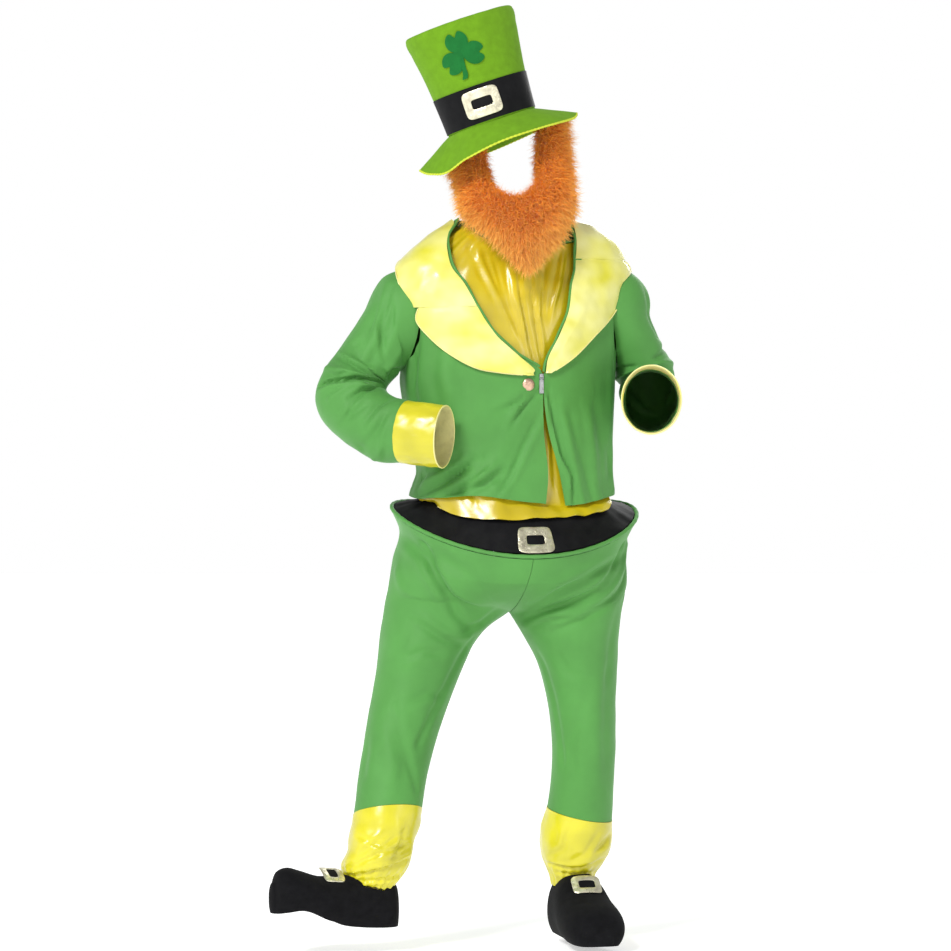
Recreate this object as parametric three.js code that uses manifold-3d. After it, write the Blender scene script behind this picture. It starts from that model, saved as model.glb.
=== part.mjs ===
// Leprechaun costume in its worn form and pose, hollow: a tall hat with a fur beard, a jacket with a mock shirt
// front, hooped trousers with a belt, and a pair of shoe covers.
// Millimetres, +Z up. The front faces -Y and the garment's right side is -X.
// Heights in the tables are above the floor. The whole group is lowered so that the origin lies in the neck opening.
import * as THREE from "three";
import { mergeVertices } from "three/addons/utils/BufferGeometryUtils.js";
import Module from "manifold-3d";

const wasm = await Module();
wasm.setup();

// Driving dimensions
const NECK_HEIGHT = 1450;
const JERSEY = 1.8;
const SATIN = 1.4;
const FELT = 3;
const FOIL = 1.6;
const SEAM = 0.3;
const ARMHOLE_GAP = 1;
const PIPING_RADIUS = 2.6;
const HOOP_RADIUS = 4;
const TORSO_YAW = 20;
const HIP_YAW = 10;

const COLOURS = {
  jersey: { color: 0x2f9a3c, roughness: 0.8 },
  satin: { color: 0xf2e21c, roughness: 0.35 },
  felt: { color: 0x7cc41f, roughness: 0.95 },
  shamrock: { color: 0x17763a, roughness: 0.95 },
  black: { color: 0x141414, roughness: 0.5 },
  velour: { color: 0x101010, roughness: 0.95 },
  foil: { color: 0xd9cf9a, roughness: 0.25, metalness: 0.9 },
  steel: { color: 0xb9bcc0, roughness: 0.3, metalness: 0.9 },
  fur: { color: 0xe8792a, roughness: 1 },
};

// Small mathematics

const radians = (degrees) => (degrees * Math.PI) / 180;
const vec = (x, y, z) => new THREE.Vector3(x, y, z);
const mix = (a, b, share) => a + (b - a) * share;
const clamp = (value, low, high) => Math.min(high, Math.max(low, value));
const bell = (distance) => Math.exp(-distance * distance);

// A column's value at a place along a table, 0 at its first row and 1 at its last, on a smooth curve that runs on a
// little past both ends.
function along(rows, column, place) {
  const last = rows.length - 1;
  const position = place * last;
  const i = clamp(Math.floor(position), 0, last - 1);
  const f = position - i;
  const p1 = rows[i][column];
  const p2 = rows[i + 1][column];
  const p0 = i > 0 ? rows[i - 1][column] : 2 * p1 - p2;
  const p3 = i + 2 <= last ? rows[i + 2][column] : 2 * p2 - p1;
  const bend = (2 * p0 - 5 * p1 + 4 * p2 - p3) * f * f + (-p0 + 3 * p1 - 3 * p2 + p3) * f * f * f;
  return 0.5 * (2 * p1 + (p2 - p0) * f + bend);
}

// The place along a table where a rising column has a value.
function placeOf(rows, column, value) {
  const last = rows.length - 1;
  let i = 0;
  while (i < last - 1 && rows[i + 1][column] < value) i++;
  const share = (value - rows[i][column]) / (rows[i + 1][column] - rows[i][column]);
  return clamp((i + clamp(share, 0, 1)) / last, 0, 1);
}

// A column read from a table by the value of another column.
const lookUp = (rows, key, value, column) => along(rows, column, placeOf(rows, key, value));

function normalAt(point, u, v, side) {
  const step = 0.004;
  const du = point(u + step, v).sub(point(u - step, v));
  const dv = point(u, v + step).sub(point(u, v - step));
  return du.cross(dv).normalize().multiplyScalar(side);
}

// Folds on a surface. Each row is a soft ridge, or a trough where its height is negative, from (u0, v0) to (u1, v1).
// across and up are the surface's real width and length, which turn u and v into millimetres.
function foldHeight(folds, u, v, across, up) {
  let height = 0;
  for (const fold of folds) {
    const ax = (fold.u1 - fold.u0) * across;
    const ay = (fold.v1 - fold.v0) * up;
    const px = (u - fold.u0) * across;
    const py = (v - fold.v0) * up;
    const share = clamp((px * ax + py * ay) / (ax * ax + ay * ay), 0, 1);
    height += fold.height * bell(Math.hypot(px - share * ax, py - share * ay) / fold.width);
  }
  return height;
}

// A surface moved along its own normals by a height in millimetres.
const raised = (point, side, height) => (u, v) =>
  point(u, v).addScaledVector(normalAt(point, u, v, side), height(u, v));

// Solids

function geometryFrom(points, triangles) {
  const geometry = new THREE.BufferGeometry();
  const places = points.flatMap((point) => point.toArray());
  geometry.setAttribute("position", new THREE.Float32BufferAttribute(places, 3));
  let volume = 0;
  for (const [a, b, c] of triangles) volume += points[a].dot(points[b].clone().cross(points[c]));
  const facing = volume < 0 ? triangles.map(([a, b, c]) => [a, c, b]) : triangles;
  geometry.setIndex(facing.flat());
  geometry.computeVertexNormals();
  return geometry;
}

// A closed body between two surfaces with the same u and v, with a rim round its edges. Both surfaces split each
// square along the same diagonal, so that a thin wall never crosses itself.
function shell(outer, inner, { columns, rows, closed = false }) {
  const across = closed ? columns : columns + 1;
  const points = [];
  for (const surface of [outer, inner])
    for (let j = 0; j <= rows; j++) for (let i = 0; i < across; i++) points.push(surface(i / columns, j / rows));
  const far = points.length / 2;
  const at = (i, j) => j * across + (i % across);
  const triangles = [];
  const quad = (a, b, c, d) => triangles.push([a, b, c], [a, c, d]);
  for (let j = 0; j < rows; j++)
    for (let i = 0; i < columns; i++) {
      quad(at(i, j), at(i + 1, j), at(i + 1, j + 1), at(i, j + 1));
      quad(far + at(i, j), far + at(i, j + 1), far + at(i + 1, j + 1), far + at(i + 1, j));
    }
  for (let i = 0; i < columns; i++) {
    quad(at(i + 1, 0), at(i, 0), far + at(i, 0), far + at(i + 1, 0));
    quad(at(i, rows), at(i + 1, rows), far + at(i + 1, rows), far + at(i, rows));
  }
  for (let j = 0; j < rows && !closed; j++) {
    quad(at(0, j), at(0, j + 1), far + at(0, j + 1), far + at(0, j));
    quad(at(columns, j + 1), at(columns, j), far + at(columns, j), far + at(columns, j + 1));
  }
  return geometryFrom(points, triangles);
}

// A wall of cloth: the surface is its outside, and its inside is moved in along the normals.
function wall(point, thickness, { side = 1, ...grid }) {
  return shell(point, raised(point, side, () => -thickness), grid);
}

// A surface closed in u, filled to a solid body with flat ends.
function filled(point, columns, rows) {
  const points = [];
  for (let j = 0; j <= rows; j++) for (let i = 0; i < columns; i++) points.push(point(i / columns, j / rows));
  const at = (i, j) => j * columns + (i % columns);
  const ends = [0, rows].map((j) => {
    const middle = vec(0, 0, 0);
    for (let i = 0; i < columns; i++) middle.addScaledVector(points[at(i, j)], 1 / columns);
    return points.push(middle) - 1;
  });
  const triangles = [];
  for (let i = 0; i < columns; i++) {
    for (let j = 0; j < rows; j++) {
      triangles.push([at(i, j), at(i + 1, j), at(i + 1, j + 1)]);
      triangles.push([at(i, j), at(i + 1, j + 1), at(i, j + 1)]);
    }
    triangles.push([at(i + 1, 0), at(i, 0), ends[0]], [at(i, rows), at(i + 1, rows), ends[1]]);
  }
  return geometryFrom(points, triangles);
}

// A round cord along a line, with flat ends.
function tube(line, radius, steps) {
  const places = Array.from({ length: steps + 1 }, (_, i) => line(i / steps));
  const path = new THREE.CatmullRomCurve3(places, false, "centripetal");
  const section = new THREE.Shape().absarc(0, 0, radius, 0, 2 * Math.PI);
  const made = new THREE.ExtrudeGeometry(section, { extrudePath: path, steps, curveSegments: 3, bevelEnabled: false });
  made.deleteAttribute("normal");
  made.deleteAttribute("uv");
  return mergeVertices(made, 1e-3);
}

// A round cord that closes on itself, along a line that stays clear of upright.
function loop(line, radius, steps, sides) {
  const points = [];
  const triangles = [];
  const at = (i, j) => (j % steps) * sides + (i % sides);
  for (let j = 0; j < steps; j++) {
    const heading = line((j + 0.5) / steps).sub(line((j - 0.5) / steps));
    const side = heading.clone().cross(vec(0, 0, 1)).normalize();
    const up = side.clone().cross(heading).normalize();
    for (let i = 0; i < sides; i++) {
      const a = (2 * Math.PI * i) / sides;
      const reach = side.clone().multiplyScalar(radius * Math.cos(a)).addScaledVector(up, radius * Math.sin(a));
      points.push(line(j / steps).add(reach));
      triangles.push([at(i, j), at(i + 1, j), at(i + 1, j + 1)], [at(i, j), at(i + 1, j + 1), at(i, j + 1)]);
    }
  }
  return geometryFrom(points, triangles);
}

function solid(geometry) {
  const bare = new THREE.BufferGeometry().setAttribute("position", geometry.getAttribute("position"));
  bare.setIndex(geometry.index);
  const merged = mergeVertices(geometry.index ? bare.toNonIndexed() : bare, 1e-3);
  return new wasm.Manifold(
    new wasm.Mesh({
      numProp: 3,
      vertProperties: new Float32Array(merged.attributes.position.array),
      triVerts: new Uint32Array(merged.index.array),
    }),
  );
}

// The largest body of a solid, as a geometry.
function largestOf(body) {
  const largest = body.decompose().reduce((a, b) => (b.volume() > a.volume() ? b : a));
  const mesh = largest.getMesh();
  const geometry = new THREE.BufferGeometry();
  geometry.setAttribute("position", new THREE.BufferAttribute(new Float32Array(mesh.vertProperties), 3));
  geometry.setIndex(new THREE.BufferAttribute(new Uint32Array(mesh.triVerts), 1));
  geometry.computeVertexNormals();
  return geometry;
}

// Read back once: a crumb that a cut leaves touching by one point only comes off the second time.
const geometryOf = (body) => largestOf(solid(largestOf(body)));

const cut = (geometry, ...tools) => geometryOf(tools.reduce((body, tool) => body.subtract(tool), solid(geometry)));

const costume = new THREE.Group();
costume.position.z = -NECK_HEIGHT;

function piece(name, colour, geometry) {
  const mesh = new THREE.Mesh(geometry, new THREE.MeshStandardMaterial(COLOURS[colour]));
  mesh.name = name;
  costume.add(mesh);
}

// Torso: level rings from the jacket's hem to its neck. half is the half-width, deep the half-depth, x the middle.

const TORSO = [
  { z: 903, x: 2, half: 211, deep: 152 },
  { z: 964, x: 8, half: 201, deep: 146 },
  { z: 1045, x: -1, half: 213, deep: 143 },
  { z: 1117, x: -4, half: 221, deep: 142 },
  { z: 1198, x: -6, half: 227, deep: 144 },
  { z: 1269, x: -8, half: 234, deep: 143 },
  { z: 1330, x: -6, half: 246, deep: 134 },
  { z: 1366, x: 2, half: 246, deep: 120 },
  { z: 1401, x: 10, half: 222, deep: 107 },
  { z: 1431, x: 17, half: 192, deep: 97 },
  { z: 1457, x: 13, half: 150, deep: 89 },
  { z: 1472, x: 4, half: 122, deep: 84 },
];
const TORSO_RINGS = TORSO.length - 1;
const TORSO_BOXINESS = 0.9;
// The hem isn't level: how far it is lifted at each angle.
const HEM = [
  { angle: -90, lift: 5 },
  { angle: -60, lift: 6 },
  { angle: -35, lift: 10 },
  { angle: 0, lift: -5 },
  { angle: 15, lift: -10 },
  { angle: 50, lift: 6 },
  { angle: 90, lift: 18 },
  { angle: 140, lift: 16 },
  { angle: 180, lift: 14 },
  { angle: 230, lift: 12 },
  { angle: 270, lift: 5 },
];

// A point of the torso. angle is 0 at the front centre, 90 at the left side and 180 at the back. ring counts rows.
function torso(angle, ring) {
  const place = ring / TORSO_RINGS;
  const a = radians(angle);
  const square = (value) => Math.sign(value) * Math.abs(value) ** TORSO_BOXINESS;
  const x = along(TORSO, "half", place) * square(Math.sin(a));
  const y = -along(TORSO, "deep", place) * square(Math.cos(a));
  const yaw = radians(TORSO_YAW);
  const lift = lookUp(HEM, "angle", angle < -90 ? angle + 360 : angle, "lift") * clamp(1 - ring, 0, 1);
  return vec(
    along(TORSO, "x", place) + x * Math.cos(yaw) - y * Math.sin(yaw),
    x * Math.sin(yaw) + y * Math.cos(yaw),
    along(TORSO, "z", place) + lift,
  );
}

// Drapes of the jacket. u0 and u1 are angles over 360, v0 and v1 rings over the ring count.
const JACKET_FOLDS = [
  { u0: -0.06, v0: 0.02, u1: -0.17, v1: 0.2, width: 16, height: 5 },
  { u0: -0.11, v0: 0.0, u1: -0.2, v1: 0.13, width: 13, height: -5 },
  { u0: -0.02, v0: 0.2, u1: -0.1, v1: 0.04, width: 12, height: 3 },
  { u0: 0.03, v0: 0.24, u1: 0.07, v1: 0.0, width: 9, height: 4 },
  { u0: 0.05, v0: 0.22, u1: 0.095, v1: 0.0, width: 9, height: -3.5 },
  { u0: 0.15, v0: 0.3, u1: 0.17, v1: 0.02, width: 16, height: 4 },
  { u0: 0.2, v0: 0.36, u1: 0.21, v1: 0.05, width: 15, height: -4 },
  { u0: -0.215, v0: 0.4, u1: -0.22, v1: 0.12, width: 13, height: -4 },
  { u0: 0.3, v0: 0.42, u1: 0.34, v1: 0.03, width: 20, height: 6 },
  { u0: 0.37, v0: 0.5, u1: 0.4, v1: 0.0, width: 20, height: -5 },
  { u0: 0.45, v0: 0.38, u1: 0.45, v1: 0.0, width: 20, height: 6 },
  { u0: 0.53, v0: 0.55, u1: 0.52, v1: 0.06, width: 18, height: -5 },
  { u0: 0.6, v0: 0.4, u1: 0.59, v1: 0.0, width: 20, height: 6 },
  { u0: 0.68, v0: 0.5, u1: 0.67, v1: 0.04, width: 20, height: -5 },
  { u0: -0.29, v0: 0.3, u1: -0.31, v1: 0.0, width: 18, height: 5 },
];
const TORSO_GIRTH = 1150;
const TORSO_LENGTH = 720;

// The jacket's outside, with angles from -270 to 90 so that the back has its folds too.
const jacketSurface = (angle, ring) => {
  const surface = (u, v) => torso(u * 360, v * TORSO_RINGS);
  const turns = [angle / 360, angle / 360 + 1, angle / 360 - 1];
  const height = (u, v) =>
    turns.reduce((sum, turn) => sum + foldHeight(JACKET_FOLDS, turn, v, TORSO_GIRTH, TORSO_LENGTH), 0);
  return raised(surface, 1, height)(angle / 360, ring / TORSO_RINGS);
};

// A point at a height over the jacket, or under it where lift is negative.
const onJacket = (angle, ring, lift) => {
  const surface = (u, v) => jacketSurface(u * 360, v * TORSO_RINGS);
  return raised(surface, 1, () => lift)(angle / 360, ring / TORSO_RINGS);
};

// Front edges of the jacket: closed from the hem to the clasp, then the V neck.
const RIGHT_EDGE = [
  { ring: 0, angle: 2.8 },
  { ring: 2, angle: 3.0 },
  { ring: 3.2, angle: 3.4 },
  { ring: 3.6, angle: 2.2 },
  { ring: 3.97, angle: -7.9 },
  { ring: 4.6, angle: -19.5 },
  { ring: 5.4, angle: -27 },
  { ring: 6.45, angle: -34.6 },
  { ring: 8.05, angle: -50 },
  { ring: 9.5, angle: -70 },
  { ring: 11, angle: -86 },
];
const LEFT_EDGE = [
  { ring: 0, angle: 13.6 },
  { ring: 0.8, angle: 9.8 },
  { ring: 1.7, angle: 6 },
  { ring: 2.6, angle: 4 },
  { ring: 3.4, angle: 4 },
  { ring: 3.8, angle: 5.2 },
  { ring: 4.3, angle: 10 },
  { ring: 5.2, angle: 16.8 },
  { ring: 6.45, angle: 18.4 },
  { ring: 8.6, angle: 22 },
  { ring: 9.9, angle: 30 },
  { ring: 11, angle: 49 },
];
const edgeAngle = (edge, ring) => lookUp(edge, "ring", ring, "angle");

// Sleeves: each row is a ring of the tube, from its outer end (ox, oy, oz) across to its inner end (ix, iy, iz),
// with the half-width b at right angles. The first row lies inside the torso and is cut away at the armhole.
// The last two rows are the satin cuff.

const RIGHT_SLEEVE = [
  { ox: -196, oy: -54, oz: 1376, ix: -160, iy: -54, iz: 1190, b: 80 },
  { ox: -260, oy: -60, oz: 1352, ix: -221, iy: -60, iz: 1166, b: 81 },
  { ox: -296, oy: -68, oz: 1286, ix: -232, iy: -68, iz: 1153, b: 77 },
  { ox: -340, oy: -78, oz: 1219, ix: -242, iy: -78, iz: 1143, b: 74 },
  { ox: -378, oy: -88, oz: 1163, ix: -249, iy: -88, iz: 1135, b: 72 },
  { ox: -395, oy: -100, oz: 1112, ix: -252, iy: -100, iz: 1127, b: 70 },
  { ox: -384, oy: -113, oz: 1070, ix: -250, iy: -113, iz: 1119, b: 68 },
  { ox: -350, oy: -128, oz: 1032, ix: -242, iy: -128, iz: 1112, b: 64 },
  { ox: -310, oy: -146, oz: 1003, ix: -231, iy: -146, iz: 1107, b: 60 },
  { ox: -270, oy: -162, oz: 981, ix: -218, iy: -162, iz: 1104, b: 57 },
  { ox: -221, oy: -180, oz: 978, ix: -206, iy: -180, iz: 1101, b: 54 },
  { ox: -180, oy: -196, oz: 973, ix: -168, iy: -196, iz: 1096, b: 54 },
  { ox: -140, oy: -211, oz: 969, ix: -131, iy: -211, iz: 1090, b: 53 },
];
const LEFT_SLEEVE = [
  { ox: 176, oy: 132, oz: 1302, ix: 176, iy: -14, iz: 1302, b: 92 },
  { ox: 212, oy: 136, oz: 1285, ix: 212, iy: -18, iz: 1285, b: 84 },
  { ox: 232, oy: 137, oz: 1254, ix: 232, iy: -14, iz: 1256, b: 58 },
  { ox: 248, oy: 139, oz: 1219, ix: 248, iy: -8, iz: 1225, b: 55 },
  { ox: 262, oy: 142, oz: 1182, ix: 262, iy: 0, iz: 1198, b: 56 },
  { ox: 274, oy: 144, oz: 1138, ix: 274, iy: 4, iz: 1178, b: 58 },
  { ox: 281, oy: 132, oz: 1090, ix: 281, iy: 4, iz: 1169, b: 58 },
  { ox: 282, oy: 100, oz: 1056, ix: 282, iy: -4, iz: 1165, b: 58 },
  { ox: 281, oy: 42, oz: 1044, ix: 281, iy: -20, iz: 1164, b: 57 },
  { ox: 279, oy: -32, oz: 1041, ix: 279, iy: -58, iz: 1165, b: 57 },
  { ox: 277, oy: -106, oz: 1039, ix: 277, iy: -112, iz: 1166, b: 56 },
  { ox: 276, oy: -155, oz: 1037, ix: 276, iy: -161, iz: 1168, b: 57 },
  { ox: 274, oy: -203, oz: 1036, ix: 274, iy: -209, iz: 1170, b: 58 },
];

function endsAt(rows, place) {
  const point = (side) => vec(...["x", "y", "z"].map((axis) => along(rows, side + axis, place)));
  return { outer: point("o"), inner: point("i") };
}

// A point of a tube. u is 0 at its inner end and 0.5 at its outer end, and v runs along the tube.
const ringed = (rows) => (u, v) => {
  const middle = (place) => {
    const { outer, inner } = endsAt(rows, place);
    return outer.add(inner).multiplyScalar(0.5);
  };
  const { outer, inner } = endsAt(rows, v);
  const half = inner.sub(outer).multiplyScalar(0.5);
  const heading = middle(Math.min(v + 0.02, 1)).sub(middle(Math.max(v - 0.02, 0)));
  const across = heading.cross(half).normalize().multiplyScalar(along(rows, "b", v));
  const angle = 2 * Math.PI * u;
  return middle(v).addScaledVector(half, Math.cos(angle)).addScaledVector(across, Math.sin(angle));
};

// Creases fan out from the inside of each elbow.
const ELBOW_FOLDS = [
  { u0: 0.08, v0: 0.46, u1: 0.36, v1: 0.3, width: 9, height: -5 },
  { u0: 0.08, v0: 0.5, u1: 0.42, v1: 0.41, width: 9, height: 5 },
  { u0: 0.08, v0: 0.53, u1: 0.4, v1: 0.49, width: 8, height: -6 },
  { u0: 0.08, v0: 0.57, u1: 0.34, v1: 0.6, width: 9, height: 4 },
  { u0: 0.1, v0: 0.6, u1: 0.3, v1: 0.72, width: 9, height: -4 },
  { u0: 0.92, v0: 0.46, u1: 0.62, v1: 0.33, width: 10, height: -5 },
  { u0: 0.92, v0: 0.51, u1: 0.6, v1: 0.46, width: 10, height: 5 },
  { u0: 0.92, v0: 0.56, u1: 0.64, v1: 0.6, width: 10, height: -5 },
  { u0: 0.3, v0: 0.12, u1: 0.22, v1: 0.34, width: 14, height: -6 },
  { u0: 0.16, v0: 0.14, u1: 0.14, v1: 0.3, width: 11, height: 5 },
  { u0: 0.8, v0: 0.14, u1: 0.78, v1: 0.32, width: 14, height: -6 },
  { u0: 0.15, v0: 0.98, u1: 0.42, v1: 0.84, width: 11, height: -5 },
  { u0: 0.3, v0: 0.99, u1: 0.46, v1: 0.9, width: 9, height: 4 },
  { u0: 0.7, v0: 0.97, u1: 0.58, v1: 0.8, width: 11, height: -5 },
];
const SLEEVE_END = 10 / 12;
const SLEEVE_GIRTH = 440;
const SLEEVE_LENGTH = 520;
const endFade = (v) => clamp((1 - v) / 0.08, 0, 1);
const stretch = (rows, from, to) => (u, v) => ringed(rows)(u, mix(from, to, v));
const sleeve = (rows) =>
  raised(stretch(rows, 0, SLEEVE_END), 1, (u, v) => {
    return endFade(v) * foldHeight(ELBOW_FOLDS, u, v, SLEEVE_GIRTH, SLEEVE_LENGTH);
  });
const CUFF_EASE = 1;
const sleeveCuff = (rows) => raised(stretch(rows, SLEEVE_END + 0.0008, 1), 1, () => CUFF_EASE);

// Trousers: the hoop ring at the top, hip rings under it, then a closed ring for each leg.

const HOOP = { x: 5, half: 250, deep: 205, front: 792, sides: 884, back: 896 };
const HIPS = [
  { ring: 0, x: 5, half: 250, deep: 205, front: 786.8, sides: 878.8, back: 890.8, legShare: 0 },
  { ring: 1, x: 2, half: 231, deep: 200, front: 764, sides: 831, back: 858, legShare: 0 },
  { ring: 2, x: -4, half: 238, deep: 192, front: 738, sides: 780, back: 812, legShare: 0 },
  { ring: 3, x: -8, half: 244, deep: 178, front: 714, sides: 738, back: 765, legShare: 0.3 },
  { ring: 4, x: -12, half: 246, deep: 160, front: 696, sides: 712, back: 725, legShare: 0.68 },
  { ring: 5, x: -12, half: 246, deep: 150, front: 690, sides: 700, back: 700, legShare: 1 },
];
const RIGHT_LEG = [
  { ox: -259, oy: -14, oz: 700, ix: -7.3, iy: -8, iz: 676, b: 122 },
  { ox: -266, oy: -18, oz: 640, ix: -64, iy: -18, iz: 634, b: 112 },
  { ox: -273, oy: -26, oz: 575, ix: -94, iy: -26, iz: 578, b: 104 },
  { ox: -285, oy: -42, oz: 497, ix: -126, iy: -42, iz: 500, b: 94 },
  { ox: -299, oy: -64, oz: 415, ix: -153, iy: -64, iz: 421, b: 85 },
  { ox: -309, oy: -86, oz: 343, ix: -171, iy: -86, iz: 352, b: 78 },
  { ox: -318, oy: -106, oz: 274, ix: -181, iy: -106, iz: 287, b: 73 },
  { ox: -325, oy: -112, oz: 240, ix: -186, iy: -112, iz: 255, b: 74 },
  { ox: -329, oy: -118, oz: 205, ix: -197, iy: -118, iz: 222, b: 73 },
  { ox: -341, oy: -124, oz: 178, ix: -206, iy: -124, iz: 182, b: 66 },
  { ox: -337, oy: -128, oz: 158, ix: -226, iy: -126, iz: 150, b: 50 },
  { ox: -326, oy: -130, oz: 146, ix: -248, iy: -129, iz: 130, b: 38 },
];
const LEFT_LEG = [
  { ox: 226, oy: 6, oz: 705, ix: -5.9, iy: -8, iz: 676, b: 122 },
  { ox: 217, oy: 6, oz: 636, ix: 22, iy: 4, iz: 630, b: 108 },
  { ox: 214, oy: 8, oz: 565, ix: 52, iy: 6, iz: 572, b: 98 },
  { ox: 211, oy: 10, oz: 490, ix: 72, iy: 8, iz: 494, b: 90 },
  { ox: 210, oy: 14, oz: 408, ix: 81, iy: 12, iz: 414, b: 82 },
  { ox: 208, oy: 20, oz: 330, ix: 80, iy: 18, iz: 345, b: 77 },
  { ox: 204, oy: 28, oz: 252, ix: 72, iy: 26, iz: 280, b: 74 },
  { ox: 203, oy: 30, oz: 225, ix: 62, iy: 28, iz: 244, b: 75 },
  { ox: 199, oy: 33, oz: 194, ix: 58, iy: 30, iz: 205, b: 74 },
  { ox: 186, oy: 36, oz: 168, ix: 64, iy: 34, iz: 172, b: 66 },
  { ox: 168, oy: 38, oz: 146, ix: 76, iy: 37, iz: 148, b: 54 },
  { ox: 164, oy: 39, oz: 124, ix: 82, iy: 38, iz: 126, b: 45 },
];
const HIP_RINGS = HIPS.length - 1;
const LEG_RINGS = 6;
const LEG_HEM = LEG_RINGS / (RIGHT_LEG.length - 1);
const CROTCH_PLACE = HIP_RINGS / (HIP_RINGS + LEG_RINGS);

// Height round a sagging ring, from its heights at the front, sides and back.
function sagging({ front, sides, back }, angle) {
  const swing = (back - front) / 2;
  const level = (front + back) / 2;
  const twice = (sides - level) / 2;
  return level + twice - swing * Math.cos(angle) - twice * Math.cos(2 * angle);
}

function hipPoint(ring, angle) {
  const x = ring.half * Math.sin(angle);
  const y = -ring.deep * Math.cos(angle);
  const yaw = radians(HIP_YAW);
  return vec(
    ring.x + x * Math.cos(yaw) - y * Math.sin(yaw),
    x * Math.sin(yaw) + y * Math.cos(yaw),
    sagging(ring, angle),
  );
}

const hoopPoint = (share) => hipPoint(HOOP, 2 * Math.PI * share);

// One half of the trousers, laid round from its front seam (u 0) over the outside (u 0.5) to its back seam (u 1).
// v is 0 at the hoop and 1 at the leg's hem. direction is 1 for the left half and -1 for the right half.
const trouserHalf = (leg, direction) => (u, v) => {
  const gap = 0.0006;
  const around = mix(gap, 1 - gap, u);
  const legPoint = (place) => ringed(leg)(direction > 0 ? 1 - around : around, place * LEG_HEM);
  if (v >= CROTCH_PLACE) return legPoint((v - CROTCH_PLACE) / (1 - CROTCH_PLACE));
  const place = v / CROTCH_PLACE;
  const ring = {};
  for (const column of ["x", "half", "deep", "front", "sides", "back"]) ring[column] = along(HIPS, column, place);
  const share = clamp(along(HIPS, "legShare", place), 0, 1);
  return hipPoint(ring, direction * Math.PI * around).lerp(legPoint(0), share);
};

const RIGHT_TROUSER_FOLDS = [
  { u0: 0.33, v0: 0.06, u1: 0.2, v1: 0.3, width: 11, height: -7 },
  { u0: 0.27, v0: 0.14, u1: 0.13, v1: 0.36, width: 12, height: 5 },
  { u0: 0.2, v0: 0.32, u1: 0.05, v1: 0.46, width: 10, height: -6 },
  { u0: 0.44, v0: 0.2, u1: 0.3, v1: 0.34, width: 13, height: 4 },
  { u0: 0.02, v0: 0.5, u1: 0.32, v1: 0.56, width: 11, height: -7 },
  { u0: 0.02, v0: 0.54, u1: 0.3, v1: 0.62, width: 11, height: 5 },
  { u0: 0.06, v0: 0.6, u1: 0.14, v1: 0.84, width: 13, height: -5 },
  { u0: 0.3, v0: 0.76, u1: 0.1, v1: 0.96, width: 10, height: -4 },
  { u0: 0.98, v0: 0.5, u1: 0.7, v1: 0.6, width: 13, height: -7 },
  { u0: 0.98, v0: 0.56, u1: 0.74, v1: 0.7, width: 13, height: 5 },
  { u0: 0.8, v0: 0.05, u1: 0.86, v1: 0.36, width: 16, height: -7 },
  { u0: 0.66, v0: 0.04, u1: 0.74, v1: 0.42, width: 16, height: 6 },
  { u0: 0.6, v0: 0.66, u1: 0.78, v1: 0.9, width: 12, height: -5 },
];
const LEFT_TROUSER_FOLDS = [
  { u0: 0.36, v0: 0.08, u1: 0.12, v1: 0.36, width: 10, height: -5 },
  { u0: 0.42, v0: 0.1, u1: 0.18, v1: 0.4, width: 11, height: 5 },
  { u0: 0.45, v0: 0.16, u1: 0.2, v1: 0.46, width: 10, height: -6 },
  { u0: 0.04, v0: 0.44, u1: 0.24, v1: 0.46, width: 10, height: -7 },
  { u0: 0.04, v0: 0.5, u1: 0.2, v1: 0.58, width: 11, height: 4 },
  { u0: 0.46, v0: 0.3, u1: 0.38, v1: 0.66, width: 13, height: -4 },
  { u0: 0.08, v0: 0.62, u1: 0.12, v1: 0.86, width: 13, height: -4 },
  { u0: 0.97, v0: 0.46, u1: 0.72, v1: 0.54, width: 13, height: -7 },
  { u0: 0.98, v0: 0.54, u1: 0.72, v1: 0.66, width: 13, height: 5 },
  { u0: 0.78, v0: 0.05, u1: 0.86, v1: 0.36, width: 16, height: -7 },
  { u0: 0.66, v0: 0.04, u1: 0.72, v1: 0.42, width: 16, height: 6 },
  { u0: 0.6, v0: 0.66, u1: 0.76, v1: 0.9, width: 12, height: -5 },
];
const TROUSER_GIRTH = 620;
const TROUSER_LENGTH = 660;

// Soft zero at the seams and at the hoop, so that neighbours keep meeting edge to edge.
const seamFade = (u, v) => clamp(u / 0.06, 0, 1) * clamp((1 - u) / 0.06, 0, 1) * clamp(v / 0.04, 0, 1);
const trouser = (leg, direction, folds) =>
  raised(trouserHalf(leg, direction), -direction, (u, v) => {
    const height = endFade(v) * foldHeight(folds, u, v, TROUSER_GIRTH, TROUSER_LENGTH);
    return height * (v < CROTCH_PLACE ? seamFade(u, v) : seamFade(u, 1));
  });

// Leg cuffs: satin, full in the middle and gathered at the ankle.
const CUFF_GATHERS = 6;
const legCuff = (rows) =>
  raised(stretch(rows, LEG_HEM + 0.0012, 1), 1, (u, v) => {
    return CUFF_EASE + 2.4 * Math.sin(2 * Math.PI * CUFF_GATHERS * u) * Math.sin(Math.PI * v) * v;
  });

// Belt: a black satin band that stands up from the hoop and is gathered round the waist.
const WAIST = { x: 5, half: 168, deep: 126, front: 905, sides: 908, back: 908 };
const BELT_GATHERS = 8;
const BELT_START = 0.052;
function beltPoint(share, v) {
  const outer = { ...HOOP, half: HOOP.half - 1, deep: HOOP.deep - 1 };
  const ring = {};
  for (const column of Object.keys(WAIST)) ring[column] = mix(outer[column], WAIST[column], v);
  const point = hipPoint(ring, 2 * Math.PI * share);
  return point.add(vec(0, 0, 2 * Math.sin(Math.PI * v)));
}
const belt = raised(beltPoint, 1, (u, v) => -1.6 * v * (1 + Math.cos(2 * Math.PI * BELT_GATHERS * u)));

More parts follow.
